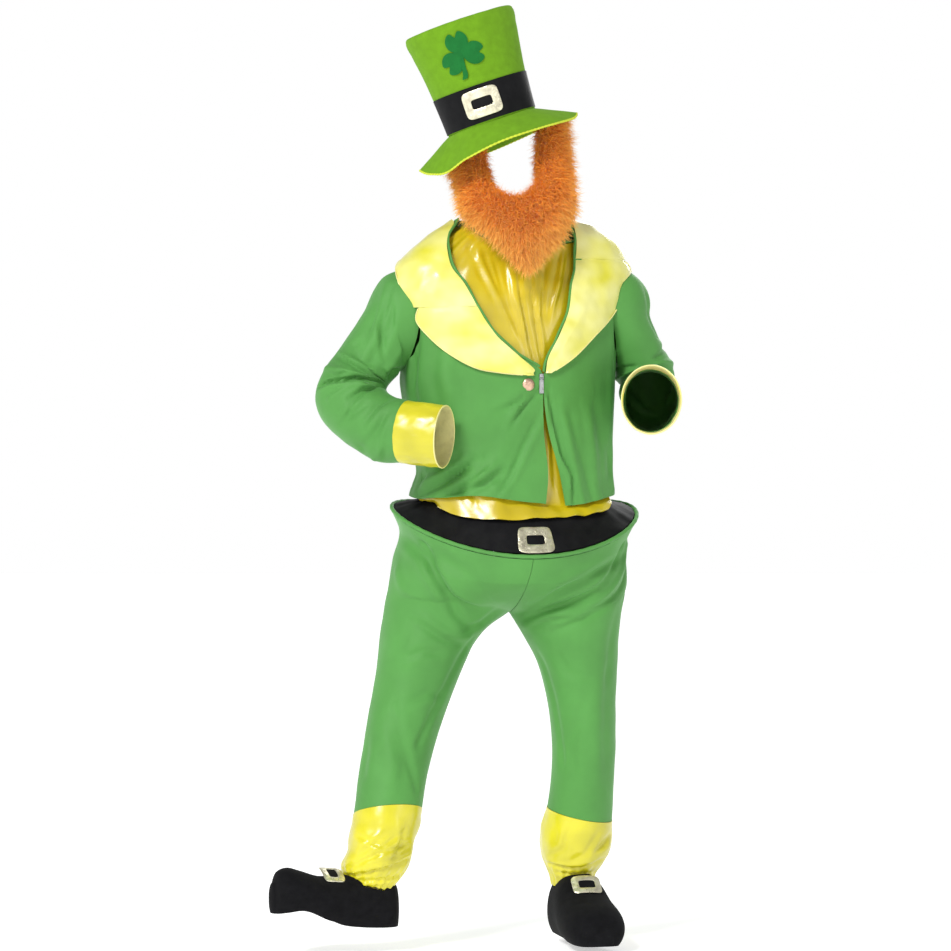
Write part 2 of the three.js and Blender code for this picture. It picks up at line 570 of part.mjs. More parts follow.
// Mock shirt: a satin front under the jacket, gathered at the neck, with its hem lying on the belt.
const SHIRT_INSET = 15;
const HEM_DROP = 0.8;
const HEM_START = 0.2;
const SHIRT_REACH = 96;
const SHIRT_GATHERS = 9;
const NECK_DIP = 2.3;
const HEM_REST = 5.6;
// Where on the belt the shirt's hem lies, from 0 at the hoop to 1 at the waist.
const SHIRT_HEM = [
  { angle: -96, place: 0.88 },
  { angle: -76, place: 0.76 },
  { angle: -54, place: 0.54 },
  { angle: -25, place: 0.57 },
  { angle: 0, place: 0.61 },
  { angle: 25, place: 0.57 },
  { angle: 48, place: 0.54 },
  { angle: 66, place: 0.72 },
  { angle: 96, place: 0.9 },
];
const shirtAngle = (u) => mix(-SHIRT_REACH, SHIRT_REACH, u);
const neckRing = (angle) => TORSO_RINGS - 0.2 - NECK_DIP * Math.cos(radians(angle)) ** 2;
function shirtPoint(u, v) {
  const angle = shirtAngle(u);
  const ring = mix(-HEM_DROP, neckRing(angle), Math.sign(v) * Math.abs(v) ** 1.5);
  const body = onJacket(angle, Math.max(ring, 0), -SHIRT_INSET);
  const beltShare = (angle + TORSO_YAW - HIP_YAW) / 360;
  const beltPlace = lookUp(SHIRT_HEM, "angle", angle, "place");
  const hem = raised(beltPoint, 1, () => HEM_REST)(beltShare, beltPlace);
  const share = Math.max((HEM_START - ring) / (HEM_START + HEM_DROP), 0);
  return body.lerp(hem, share * share * (2 - share));
}
const shirt = raised(shirtPoint, 1, (u, v) => {
  const wave = Math.sin(2 * Math.PI * SHIRT_GATHERS * u);
  const neck = clamp((v - 0.45) / 0.5, 0, 1) * clamp((1 - v) / 0.03, 0.35, 1);
  const hem = clamp(1 - v / 0.28, 0, 1);
  return wave * 2.6 * neck + (1 + wave) * 1.4 * hem;
});

const shirtLine = (u) => raised(shirtPoint, 1, () => -SATIN / 2)(u, 1);

// Collar and lapels, which lie on the jacket. Each row is a station: inner end on the neck or V edge, outer end free.
// A lapel lies close to the jacket at the V edge and stands off it further out.
const lapelLift = (share) => mix(2.8, 6, clamp(share * 4, 0, 1));
const RIGHT_LAPEL = [
  { ring: 3.44, inner: -0.4, outer: -3 },
  { ring: 3.5, inner: -0.6, outer: -17 },
  { ring: 3.62, inner: -0.6, outer: -30 },
  { ring: 3.97, inner: -7.9, outer: -45 },
  { ring: 4.42, inner: -16.6, outer: -57.5 },
  { ring: 4.9, inner: -22.6, outer: -66.4 },
  { ring: 5.24, inner: -25.8, outer: -62.6 },
];
const LEFT_LAPEL = [
  { ring: 3.5, inner: 4.6, outer: 7 },
  { ring: 3.9, inner: 6, outer: 20 },
  { ring: 4.48, inner: 11.6, outer: 34 },
  { ring: 5.2, inner: 16.8, outer: 52 },
  { ring: 6.17, inner: 18, outer: 68 },
  { ring: 7.1, inner: 19.2, outer: 79 },
  { ring: 7.58, inner: 20, outer: 62 },
];
const COLLAR = [
  { innerAngle: -26, innerRing: 5.3, outerAngle: -73, outerRing: 5.3 },
  { innerAngle: -34.2, innerRing: 6.4, outerAngle: -80, outerRing: 6.3 },
  { innerAngle: -50, innerRing: 8.0, outerAngle: -92, outerRing: 7.1 },
  { innerAngle: -70, innerRing: 9.5, outerAngle: -106, outerRing: 7.5 },
  { innerAngle: -92, innerRing: 10.6, outerAngle: -122, outerRing: 7.7 },
  { innerAngle: -132, innerRing: 10.9, outerAngle: -146, outerRing: 7.8 },
  { innerAngle: -180, innerRing: 10.9, outerAngle: -180, outerRing: 7.8 },
  { innerAngle: -230, innerRing: 10.9, outerAngle: -214, outerRing: 7.8 },
  { innerAngle: -262, innerRing: 10.9, outerAngle: -236, outerRing: 7.8 },
  { innerAngle: -292, innerRing: 10.9, outerAngle: -252, outerRing: 7.8 },
  { innerAngle: -316, innerRing: 10.5, outerAngle: -263, outerRing: 7.8 },
  { innerAngle: -334, innerRing: 9.3, outerAngle: -270, outerRing: 7.8 },
  { innerAngle: -340, innerRing: 7.64, outerAngle: -277, outerRing: 7.8 },
];
const lapel = (rows) => (u, v) => {
  const ring = along(rows, "ring", v);
  return onJacket(mix(along(rows, "inner", v), along(rows, "outer", v), u), ring, lapelLift(u));
};
const collar = (u, v) => {
  const angle = mix(along(COLLAR, "innerAngle", u), along(COLLAR, "outerAngle", u), v);
  const ring = mix(along(COLLAR, "innerRing", u), along(COLLAR, "outerRing", u), v);
  return onJacket(angle, ring, lapelLift(v) + 0.8);
};

// Piping along one V edge, just beyond the jacket's edge. beyond is in degrees.
const pipingLine = (edge, from, beyond) => (share) => {
  const ring = mix(from, TORSO_RINGS - 0.15, share);
  return onJacket(edgeAngle(edge, ring) + beyond, ring, 0.6);
};

// Build the jacket

const torsoCore = solid(filled((u, v) => torso(u * 360, v * TORSO_RINGS), 36, 16));
const sleeves = { right: RIGHT_SLEEVE, left: LEFT_SLEEVE };
const sleeveGrid = { columns: 14, rows: 12, closed: true };
const sleeveCore = (rows, gap) => solid(filled(raised(sleeve(rows), 1, () => gap), 14, 12));
const sleeveCores = Object.values(sleeves).map((rows) => sleeveCore(rows, ARMHOLE_GAP));
for (const [name, rows] of Object.entries(sleeves)) {
  piece("sleeve_" + name, "jersey", cut(wall(sleeve(rows), JERSEY, sleeveGrid), torsoCore));
  const cuffWall = wall(sleeveCuff(rows), SATIN, { columns: 14, rows: 2, closed: true });
  piece("cuff_" + name, "satin", cut(cuffWall, sleeveCore(rows, SEAM)));
}

const pipings = {
  right: pipingLine(RIGHT_EDGE, 3.66, 0.9),
  left: pipingLine(LEFT_EDGE, 3.54, -0.4),
};
const fatPipings = Object.values(pipings).map((line) => solid(tube(line, PIPING_RADIUS + SEAM, 14)));
for (const [name, line] of Object.entries(pipings)) piece("piping_" + name, "jersey", tube(line, PIPING_RADIUS, 14));

const SIDE_GAP = 0.08;
const panels = [
  { name: "jacket_front_right", from: () => -90 + SIDE_GAP, to: (ring) => edgeAngle(RIGHT_EDGE, ring), columns: 8 },
  { name: "jacket_front_left", from: (ring) => edgeAngle(LEFT_EDGE, ring), to: () => 90 - SIDE_GAP, columns: 8 },
  { name: "jacket_back", from: () => 90 + SIDE_GAP, to: () => 270 - SIDE_GAP, columns: 12 },
];
for (const { name, from, to, columns } of panels) {
  const surface = (u, v) => {
    const ring = v * TORSO_RINGS;
    return jacketSurface(mix(from(ring), to(ring), u), ring);
  };
  piece(name, "jersey", cut(wall(surface, JERSEY, { columns, rows: 13 }), ...sleeveCores, ...fatPipings));
}

const lapels = [
  { name: "lapel_right", rows: RIGHT_LAPEL, side: -1 },
  { name: "lapel_left", rows: LEFT_LAPEL, side: 1 },
];
for (const { name, rows, side } of lapels) {
  const lapelWall = wall(lapel(rows), SATIN, { columns: 4, rows: 8, side });
  piece(name, "satin", cut(lapelWall, ...fatPipings, ...sleeveCores));
}
piece("collar", "satin", cut(wall(collar, SATIN, { columns: 24, rows: 4 }), ...fatPipings, ...sleeveCores));

const BINDING_RISE = vec(0, 0, PIPING_RADIUS + 2);
const binding = (share) => shirtLine(mix(0.03, 0.97, share)).add(BINDING_RISE);
piece("shirt_neck_binding", "jersey", tube(binding, PIPING_RADIUS, 16));
piece("shirt_front", "satin", cut(wall(shirt, SATIN, { columns: 34, rows: 7 }), ...sleeveCores));

// Build the trousers and belt

piece("waist_hoop", "jersey", loop(hoopPoint, HOOP_RADIUS, 44, 6));
const trouserParts = [
  { name: "trouser_right", leg: RIGHT_LEG, direction: -1, folds: RIGHT_TROUSER_FOLDS },
  { name: "trouser_left", leg: LEFT_LEG, direction: 1, folds: LEFT_TROUSER_FOLDS },
];
for (const { name, leg, direction, folds } of trouserParts) {
  const surface = trouser(leg, direction, folds);
  piece(name, "jersey", wall(surface, JERSEY, { columns: 17, rows: 15, side: -direction }));
}
piece("leg_cuff_right", "satin", wall(legCuff(RIGHT_LEG), SATIN, { columns: 24, rows: 4, closed: true }));
piece("leg_cuff_left", "satin", wall(legCuff(LEFT_LEG), SATIN, { columns: 24, rows: 4, closed: true }));
const beltAboveHoop = (u, v) => belt(u, mix(BELT_START, 1, v));
piece("belt", "black", wall(beltAboveHoop, SATIN, { columns: 32, rows: 2, closed: true }));

// Hat. Its own frame has its origin in the middle of the band's lower edge, with +z up the crown.

const HAT = { x: -41, y: -14, z: 1668, roll: -18.6, pitch: 2.5 };
// The crown's radius at each height: flared, with a soft corner at the top.
const CROWN = [
  { z: 0, radius: 92 },
  { z: 40, radius: 94.5 },
  { z: 80, radius: 98 },
  { z: 130, radius: 104 },
  { z: 180, radius: 111.5 },
  { z: 200, radius: 115 },
  { z: 209, radius: 113 },
];
const CROWN_DEPTH = 1.04;
const BAND = { low: 3, high: 77 };
const BRIM = { half: 169, deep: 150 };
// How far the brim's edge hangs. angle is 0 at the front and 90 at the left side.
const BRIM_DROOP = [
  { angle: -180, droop: 46 },
  { angle: -135, droop: 54 },
  { angle: -90, droop: 44 },
  { angle: -60, droop: 62 },
  { angle: -45, droop: 68 },
  { angle: -28, droop: 56 },
  { angle: 0, droop: 45 },
  { angle: 28, droop: 44 },
  { angle: 50, droop: 45 },
  { angle: 70, droop: 44 },
  { angle: 90, droop: 35 },
  { angle: 135, droop: 36 },
  { angle: 180, droop: 46 },
];

const hatTurn = new THREE.Euler(radians(HAT.pitch), radians(HAT.roll), 0, "YXZ");
const hatPoint = (x, y, z) => vec(x, y, z).applyEuler(hatTurn).add(vec(HAT.x, HAT.y, HAT.z));
const onCrown = (angle, z, lift) => {
  const radius = lookUp(CROWN, "z", z, "radius") + lift;
  return hatPoint(radius * Math.sin(angle), -radius * CROWN_DEPTH * Math.cos(angle), z);
};
const crown = (lift, low, high) => (u, v) => onCrown(2 * Math.PI * u, mix(low, high, v), lift);
const brim = (drop) => (u, v) => {
  const angle = 360 * u - 180;
  const a = radians(angle);
  const inner = CROWN[0].radius + 1;
  const droop = lookUp(BRIM_DROOP, "angle", angle, "droop");
  return hatPoint(
    mix(inner, BRIM.half, v) * Math.sin(a),
    -mix(inner * CROWN_DEPTH, BRIM.deep, v) * Math.cos(a),
    -0.5 - drop - droop * v ** 1.05,
  );
};
const TOP = { radius: 112, crown: 3 };
const CROWN_HEIGHT = CROWN[CROWN.length - 1].z;
const hatTop = (drop) => (u, v) => {
  const a = 2 * Math.PI * u;
  const height = CROWN_HEIGHT + SEAM + FELT - drop + TOP.crown * (1 - v * v);
  return hatPoint(TOP.radius * v * Math.sin(a), -TOP.radius * CROWN_DEPTH * v * Math.cos(a), height);
};

// A closed disc between two polar surfaces, each with its centre at v 0.
function disc(outer, inner, columns, rows) {
  const last = 2 * rows + 1;
  const face = (u, v) => {
    const j = Math.round(v * last);
    return j <= rows ? outer(u, mix(0.06, 1, j / rows)) : inner(u, mix(0.06, 1, (last - j) / rows));
  };
  return filled(face, columns, last);
}

// A rectangular frame with round corners, bent to a surface. place(x, y, lift) gives a point of the surface.
function frame(place, { width, height, holeWidth, holeHeight, lift = 0.6, thickness = FOIL }) {
  const rounded = (value) => Math.sign(value) * Math.abs(value) ** 0.42;
  const face = (rise) => (u, v) => {
    const a = 2 * Math.PI * u;
    const x = mix(width, holeWidth, v) / 2;
    const y = mix(height, holeHeight, v) / 2;
    return place(x * rounded(Math.cos(a)), y * rounded(Math.sin(a)), rise);
  };
  return shell(face(lift + thickness), face(lift), { columns: 20, rows: 1, closed: true });
}

// Shamrock: three heart-shaped leaves and a stem, as a distance from the middle for each direction.
const LEAF_REACH = 46;
const LEAF_NOTCH = 0.2;
const STEM_REACH = 52;
const LEAF_DIRECTIONS = [98, 200, 0, 360].map(radians);
const STEM_DIRECTION = radians(266);
function shamrockReach(direction) {
  const leaves = LEAF_DIRECTIONS.map((leaf) => {
    const off = Math.min(Math.abs(direction - leaf), Math.PI / 3);
    return LEAF_REACH * Math.max(Math.cos(1.5 * off), 0.02) ** 0.42 * (1 - LEAF_NOTCH * bell(off / 0.12));
  });
  return Math.abs(direction - STEM_DIRECTION) < radians(5) ? STEM_REACH : Math.max(...leaves);
}
const SHAMROCK = { turn: -0.17, z: 144 };
const onHat = (turn, middle) => (x, y, lift) => {
  const z = middle + y;
  return onCrown(turn + x / lookUp(CROWN, "z", z, "radius"), z, lift);
};
const shamrock = (lift) => (u, v) => {
  const direction = 2 * Math.PI * u;
  const reach = shamrockReach(direction) * v;
  return onHat(SHAMROCK.turn, SHAMROCK.z)(reach * Math.cos(direction), reach * Math.sin(direction), lift);
};

const crownWall = (outside, inside, low, high, rows) =>
  shell(crown(outside, low, high), crown(inside, low, high), { columns: 28, rows, closed: true });
const brimWall = (spare) => shell(brim(-spare), brim(FELT + spare), { columns: 32, rows: 2, closed: true });
const HAT_BUCKLE = { width: 74, height: 56, holeWidth: 42, holeHeight: 20, lift: 3.6 };
const HAT_BUCKLE_PLACE = { turn: -0.09, z: 41 };
const BAND_LIFT = 0.5;
piece("hat_crown", "felt", crownWall(0, -FELT, 0.2, CROWN_HEIGHT, 5));
piece("hat_top", "felt", disc(hatTop(0), hatTop(FELT), 28, 1));
piece("hat_band", "black", crownWall(BAND_LIFT + SATIN, BAND_LIFT, BAND.low, BAND.high, 1));
piece("hat_brim", "felt", brimWall(0));
piece("hat_buckle", "foil", frame(onHat(HAT_BUCKLE_PLACE.turn, HAT_BUCKLE_PLACE.z), HAT_BUCKLE));
piece("hat_shamrock", "shamrock", disc(shamrock(3), shamrock(1.2), 40, 2));

// Beard: a thick U of fur, from under the brim's right side round the chin to its left side.

const BEARD = [
  { ox: -124, oy: 2, oz: 1646, ix: -58, iy: -52, iz: 1664, b: 22 },
  { ox: -119, oy: 0, oz: 1582, ix: -60, iy: -72, iz: 1606, b: 27 },
  { ox: -97, oy: -8, oz: 1526, ix: -59, iy: -84, iz: 1572, b: 30 },
  { ox: -92, oy: -74, oz: 1474, ix: -46, iy: -102, iz: 1545, b: 28 },
  { ox: -38, oy: -132, oz: 1429, ix: -28, iy: -116, iz: 1526, b: 27 },
  { ox: 6, oy: -152, oz: 1386, ix: -10, iy: -122, iz: 1516, b: 27 },
  { ox: 33, oy: -158, oz: 1366, ix: 6, iy: -123, iz: 1513, b: 27 },
  { ox: 60, oy: -152, oz: 1396, ix: 22, iy: -122, iz: 1516, b: 27 },
  { ox: 92, oy: -130, oz: 1427, ix: 40, iy: -116, iz: 1534, b: 27 },
  { ox: 117, oy: -74, oz: 1484, ix: 54, iy: -104, iz: 1556, b: 28 },
  { ox: 110, oy: -12, oz: 1543, ix: 58, iy: -88, iz: 1590, b: 30 },
  { ox: 109, oy: -4, oz: 1606, ix: 54, iy: -76, iz: 1630, b: 27 },
  { ox: 106, oy: 0, oz: 1696, ix: 47, iy: -54, iz: 1704, b: 22 },
];
const fatBrim = solid(brimWall(SEAM));
const fatCrown = solid(crownWall(SEAM, -FELT - SEAM, 0, 60, 1));
piece("beard", "fur", cut(filled(ringed(BEARD), 12, 20), fatBrim, fatCrown));

// Fastenings on the front

const BUTTON = { angle: -2.6, ring: 3.22, radius: 12.5, rise: 6, lift: 0.3 };
const onFront = ({ angle, ring, lift }) => (x, y, rise) => {
  const middle = onJacket(angle, ring, 0);
  const up = onJacket(angle, ring + 0.2, 0).sub(middle).normalize();
  const out = onJacket(angle, ring, 1).sub(middle).normalize();
  const across = up.clone().cross(out).normalize();
  return middle.addScaledVector(across, x).addScaledVector(up, y).addScaledVector(out, lift + rise);
};
const dome = (rise) => (u, v) => {
  const a = 2 * Math.PI * u;
  const { radius } = BUTTON;
  return onFront(BUTTON)(radius * v * Math.cos(a), radius * v * Math.sin(a), rise * Math.sqrt(1 - 0.98 * v * v));
};
piece("jacket_button", "foil", disc(dome(BUTTON.rise), dome(0), 14, 2));

const box = (place, [x0, x1], [y0, y1], [z0, z1]) => {
  const geometry = new THREE.BoxGeometry(x1 - x0, y1 - y0, z1 - z0);
  geometry.translate((x0 + x1) / 2, (y0 + y1) / 2, (z0 + z1) / 2);
  const position = geometry.attributes.position;
  for (let i = 0; i < position.count; i++) {
    const point = place(position.getX(i), position.getY(i), position.getZ(i));
    position.setXYZ(i, point.x, point.y, point.z);
  }
  geometry.deleteAttribute("normal");
  geometry.deleteAttribute("uv");
  return mergeVertices(geometry, 1e-4);
};

// Shoe covers. Each row is an upright ring across the foot: its middle, half-width, bottom and top.

const RIGHT_SHOE = {
  heading: vec(-0.94, -0.34, 0),
  rows: [
    { x: -235, y: -108, half: 22, low: 54, high: 134 },
    { x: -247, y: -113, half: 36, low: 52, high: 148 },
    { x: -278, y: -125, half: 43, low: 52, high: 158 },
    { x: -316, y: -140, half: 45, low: 55, high: 158 },
    { x: -352, y: -154, half: 49, low: 62, high: 157 },
    { x: -386, y: -168, half: 52, low: 80, high: 157 },
    { x: -420, y: -181, half: 51, low: 93, high: 168 },
    { x: -446, y: -191, half: 45, low: 90, high: 176 },
    { x: -466, y: -198, half: 33, low: 87, high: 169 },
    { x: -475, y: -201, half: 18, low: 94, high: 148 },
  ],
};
const LEFT_SHOE = {
  heading: vec(0.26, -0.966, 0),
  rows: [
    { x: 105, y: 92, half: 22, low: 20, high: 112 },
    { x: 108, y: 82, half: 36, low: 18, high: 126 },
    { x: 116, y: 54, half: 43, low: 18, high: 140 },
    { x: 127, y: 16, half: 48, low: 18, high: 150 },
    { x: 139, y: -22, half: 55, low: 18, high: 145 },
    { x: 150, y: -60, half: 61, low: 18, high: 117 },
    { x: 160, y: -98, half: 63, low: 17, high: 101 },
    { x: 168, y: -132, half: 59, low: 16, high: 90 },
    { x: 174, y: -156, half: 46, low: 16, high: 74 },
    { x: 176, y: -166, half: 27, low: 20, high: 56 },
  ],
};
const shoeBody = ({ heading, rows }, inset) => (u, v) => {
  const a = 2 * Math.PI * u;
  const half = along(rows, "half", v) - inset;
  const low = along(rows, "low", v);
  const high = along(rows, "high", v) - inset;
  const middle = mix(low, high, 0.42);
  const across = half * Math.sign(Math.cos(a)) * Math.abs(Math.cos(a)) ** 0.8;
  const up = Math.sin(a) > 0 ? (high - middle) * Math.sin(a) : (middle - low + 14) * Math.sin(a);
  const shift = inset * mix(1, -1, v);
  return vec(along(rows, "x", v), along(rows, "y", v), middle + up)
    .addScaledVector(vec(-heading.y, heading.x, 0), across)
    .addScaledVector(heading, shift);
};

// Everything under the sole: it opens the cover underneath.
const underShoe = ({ heading, rows }) =>
  filled((u, v) => {
    const a = 2 * Math.PI * u;
    const place = clamp(v, 0, 1);
    const low = along(rows, "low", place);
    const reach = mix(-12, 12, v);
    const up = Math.sin(a) > 0 ? 0.7 * Math.sin(a) ** 0.3 * 10 - 10 : -50;
    return vec(along(rows, "x", place), along(rows, "y", place), low + up + 3)
      .addScaledVector(vec(-heading.y, heading.x, 0), 90 * Math.cos(a))
      .addScaledVector(heading, reach);
  }, 16, 12);

const ANKLE_DEPTH = 8;
const ankleHole = (rows, gap) => {
  const cuff = raised(stretch(rows, LEG_HEM + 0.2, 1), 1, () => gap);
  const sunk = (u, v) => cuff(u, Math.min(v / 0.8, 1)).add(vec(0, 0, -ANKLE_DEPTH * clamp(v / 0.2 - 4, 0, 1)));
  return filled(sunk, 24, 5);
};
// A stiff buckle over the instep: its middle, the directions of its width and height, and how its width is bowed.
const SHOE_BUCKLE = { width: 60, height: 44, holeWidth: 34, holeHeight: 19 };
const BUCKLE_BOW = 90;
const buckleFrame = ({ middle, across, along: upward }) => {
  const side = vec(...across).normalize();
  const out = side.clone().cross(vec(...upward)).normalize();
  const up = out.clone().cross(side);
  return (x, y, lift) => {
    const height = lift - (x * x) / (2 * BUCKLE_BOW);
    return vec(...middle).addScaledVector(side, x).addScaledVector(up, y).addScaledVector(out, height);
  };
};
const shoes = [
  {
    name: "right",
    shoe: RIGHT_SHOE,
    legRows: RIGHT_LEG,
    ankleGap: 2.5,
    buckle: { middle: [-359, -163, 164], across: [0.3, -0.88, -0.36], along: [0.93, 0.32, -0.1], lift: -1.3 },
  },
  {
    name: "left",
    shoe: LEFT_SHOE,
    legRows: LEFT_LEG,
    ankleGap: 3.2,
    buckle: { middle: [151, -57, 131], across: [0.93, 0.25, 0], along: [-0.2, 0.7, 0.72], lift: -2.3 },
  },
];
for (const { name, shoe, legRows, ankleGap, buckle } of shoes) {
  const ankle = solid(ankleHole(legRows, ankleGap));
  const hollow = solid(filled(shoeBody(shoe, FELT), 12, 9));
  const body = solid(filled(shoeBody(shoe, 0), 14, 10));
  const cover = body.subtract(hollow).subtract(solid(underShoe(shoe))).subtract(ankle);
  piece("shoe_cover_" + name, "velour", geometryOf(cover));
  piece("shoe_buckle_" + name, "foil", frame(buckleFrame(buckle), { ...SHOE_BUCKLE, lift: buckle.lift }));
}

// Belt buckle
const BUCKLE = { share: 0.006, v: 0.27 };
const BELT_GIRTH = 1250;
const BELT_WIDTH = 138;
const onBelt = (x, y, lift) =>
  raised(beltPoint, 1, () => lift)(BUCKLE.share + x / BELT_GIRTH + 1, BUCKLE.v + y / BELT_WIDTH);
piece("belt_buckle", "foil", frame(onBelt, { width: 62, height: 60, holeWidth: 32, holeHeight: 22, lift: 0.8 }));

// Zip: the slider sits in the front seam, and the pull tab hangs from its eye on a pin across the front.
const ZIP = { angle: 2.6, ring: 3.42, lift: 1.9 };
const onZip = onFront(ZIP);
const PIN = { y: -4.4, radius: 0.8, eye: 1.9, play: 0.3 };
const bar = (radius, [x0, x1]) => {
  const round = (u, v) => {
    const a = 2 * Math.PI * u;
    return onZip(mix(x0, x1, v), PIN.y + radius * Math.sin(a), radius * Math.cos(a));
  };
  return solid(filled(round, 8, 1));
};
const zipBox = (...sizes) => solid(box(onZip, ...sizes));
const slider = zipBox([-4, 4], [-2, 5], [-1.4, 1.4])
  .add(zipBox([-4, -2.6], [-6, -1], [-1.2, 1.2]))
  .add(zipBox([2.6, 4], [-6, -1], [-1.2, 1.2]))
  .add(bar(PIN.radius, [-3.2, 3.2]));
const tab = zipBox([-4.5, 4.5], [-34, -7], [-0.7, 0.7])
  .add(zipBox([-2.2, 2.2], [-7.5, PIN.y], [-0.7, 0.7]))
  .add(bar(PIN.eye, [-2.2, 2.2]))
  .subtract(bar(PIN.radius + PIN.play, [-3, 3]));
piece("zip_slider", "steel", geometryOf(slider));
piece("zip_pull_tab", "steel", geometryOf(tab));

export default costume;
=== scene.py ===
# Looks of the leprechaun costume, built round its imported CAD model. Lengths are in millimetres, and heights
# are above the floor. metres() turns them into the frame's metres, with the origin in the neck opening.
import math

import bpy
import numpy as np
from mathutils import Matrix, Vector


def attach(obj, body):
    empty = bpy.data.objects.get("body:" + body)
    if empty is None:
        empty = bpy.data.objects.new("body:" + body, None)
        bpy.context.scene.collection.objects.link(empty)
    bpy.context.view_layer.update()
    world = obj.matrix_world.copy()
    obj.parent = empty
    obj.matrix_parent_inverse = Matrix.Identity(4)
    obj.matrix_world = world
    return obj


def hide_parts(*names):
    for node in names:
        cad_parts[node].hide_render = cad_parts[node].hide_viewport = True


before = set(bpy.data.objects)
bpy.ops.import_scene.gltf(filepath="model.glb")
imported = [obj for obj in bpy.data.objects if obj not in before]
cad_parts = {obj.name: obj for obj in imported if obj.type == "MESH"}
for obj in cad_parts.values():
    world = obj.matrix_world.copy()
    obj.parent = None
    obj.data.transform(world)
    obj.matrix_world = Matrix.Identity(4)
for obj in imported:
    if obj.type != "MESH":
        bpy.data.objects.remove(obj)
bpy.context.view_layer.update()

# Driving dimensions, in millimetres
NECK_HEIGHT = 1450
JERSEY = 1.8
SATIN = 1.4
FELT = 3
FOIL = 1.6
ARMHOLE_GAP = 1
PIPING_RADIUS = 2.6
HOOP_RADIUS = 4
TORSO_YAW = 20
HIP_YAW = 10
COSTUME = "costume"

# Camera: the photograph's middle, seen from 8 m in front
CAMERA_DISTANCE = 8000
VIEW_MIDDLE = (-74, 953)
VIEW_WIDTH = 1930.5
SENSOR = 36
CLIP_METRES = 60

# Studio: each area light's place, size and watts, the sun, and the sky's brightness by height from -1 to 1
LIGHTS = {
    "key": ((-1900, -3000, 2600), (900, 1500), 26),
    "fill": ((2600, -2600, 1500), (500, 1800), 10),
    "rim": ((900, 2600, 2300), (1500, 900), 22),
}
LIGHT_TARGET = (0, 0, 1000)
SUN = {"direction": (0.55, 1.0, -0.85), "strength": 1.8, "softness": 12}
SKY = [(-1, 0.5), (-0.15, 1), (0.13, 1), (0.4, 0.35), (1, 0.3)]
FLOOR_REACH = 30000
FLOOR_SHADE = (0.9, 0.9, 0.9)
FLOOR_GLOW = 0.5


def metres(points):
    moved = np.asarray(points, float) - [0, 0, NECK_HEIGHT]
    return moved / 1000


def add_camera():
    camera = bpy.data.objects.new("camera", bpy.data.cameras.new("camera"))
    camera.data.sensor_width = SENSOR
    camera.data.lens = SENSOR * CAMERA_DISTANCE / VIEW_WIDTH
    camera.data.clip_end = CLIP_METRES
    camera.location = metres([VIEW_MIDDLE[0], -CAMERA_DISTANCE, VIEW_MIDDLE[1]])
    camera.rotation_euler = (math.pi / 2, 0, 0)
    bpy.context.collection.objects.link(camera)
    bpy.context.scene.camera = camera


def add_light(name, place, size, power):
    light = bpy.data.objects.new(name, bpy.data.lights.new(name, "AREA"))
    light.data.shape = "RECTANGLE"
    light.data.size = size[0] / 1000
    light.data.size_y = size[1] / 1000
    light.data.energy = power
    light.location = metres(place)
    aim = Vector(metres(LIGHT_TARGET)) - light.location
    light.rotation_euler = aim.to_track_quat("-Z", "Y").to_euler()
    bpy.context.collection.objects.link(light)


def add_sun(direction, strength, softness):
    sun = bpy.data.objects.new("sun", bpy.data.lights.new("sun", "SUN"))
    sun.data.energy = strength
    sun.data.angle = math.radians(softness)
    sun.rotation_euler = Vector(direction).to_track_quat("-Z", "Y").to_euler()
    bpy.context.collection.objects.link(sun)


def add_world(stops):
    """A studio sky whose brightness goes by height. Each stop is a height and a brightness."""
    world = bpy.data.worlds.new("studio")
    world.use_nodes = True
    nodes, links = world.node_tree.nodes, world.node_tree.links
    direction = nodes.new("ShaderNodeTexCoord")
    parts = nodes.new("ShaderNodeSeparateXYZ")
    span = nodes.new("ShaderNodeMapRange")
    span.inputs["From Min"].default_value = -1
    ramp = nodes.new("ShaderNodeValToRGB")
    for height, brightness in stops[1:-1]:
        ramp.color_ramp.elements.new((height + 1) / 2)
    for element, (height, brightness) in zip(ramp.color_ramp.elements, stops):
        element.position = (height + 1) / 2
        element.color = (brightness, brightness, brightness, 1)
    links.new(direction.outputs["Generated"], parts.inputs["Vector"])
    links.new(parts.outputs["Z"], span.inputs["Value"])
    links.new(span.outputs["Result"], ramp.inputs["Fac"])
    links.new(ramp.outputs["Color"], nodes["Background"].inputs["Color"])
    bpy.context.scene.world = world
    bpy.context.scene.view_settings.view_transform = "Standard"


add_camera()
add_world(SKY)
add_sun(**SUN)
for name, (place, size, power) in LIGHTS.items():
    add_light(name, place, size, power)

# Small mathematics


def table(columns, rows):
    values = np.array(rows, float)
    return {name: values[:, i] for i, name in enumerate(columns.split())}


def mix(a, b, share):
    return a + (b - a) * share


def bell(distance):
    return np.exp(-distance * distance)


def smooth(value):
    value = np.clip(value, 0, 1)
    return value * value * (3 - 2 * value)


def along(column, place):
    """A column's value at a place from 0 to 1 along its table, on a curve that runs on past both ends."""
    last = len(column) - 1
    position = np.asarray(place, float) * last
    i = np.clip(np.floor(position).astype(int), 0, last - 1)
    f = position - i
    longer = np.concatenate([[2 * column[0] - column[1]], column, [2 * column[-1] - column[-2]]])
    p0, p1, p2, p3 = (longer[i + k] for k in range(4))
    bend = (2 * p0 - 5 * p1 + 4 * p2 - p3) * f * f + (-p0 + 3 * p1 - 3 * p2 + p3) * f * f * f
    return 0.5 * (2 * p1 + (p2 - p0) * f + bend)


def look_up(rows, key, value, column):
    place = np.interp(value, rows[key], np.linspace(0, 1, len(rows[key])))
    return along(rows[column], place)


def points_from(x, y, z):
    return np.stack(np.broadcast_arrays(x, y, z), axis=-1).astype(float)


def unit(vectors):
    return vectors / np.maximum(np.linalg.norm(vectors, axis=-1, keepdims=True), 1e-9)


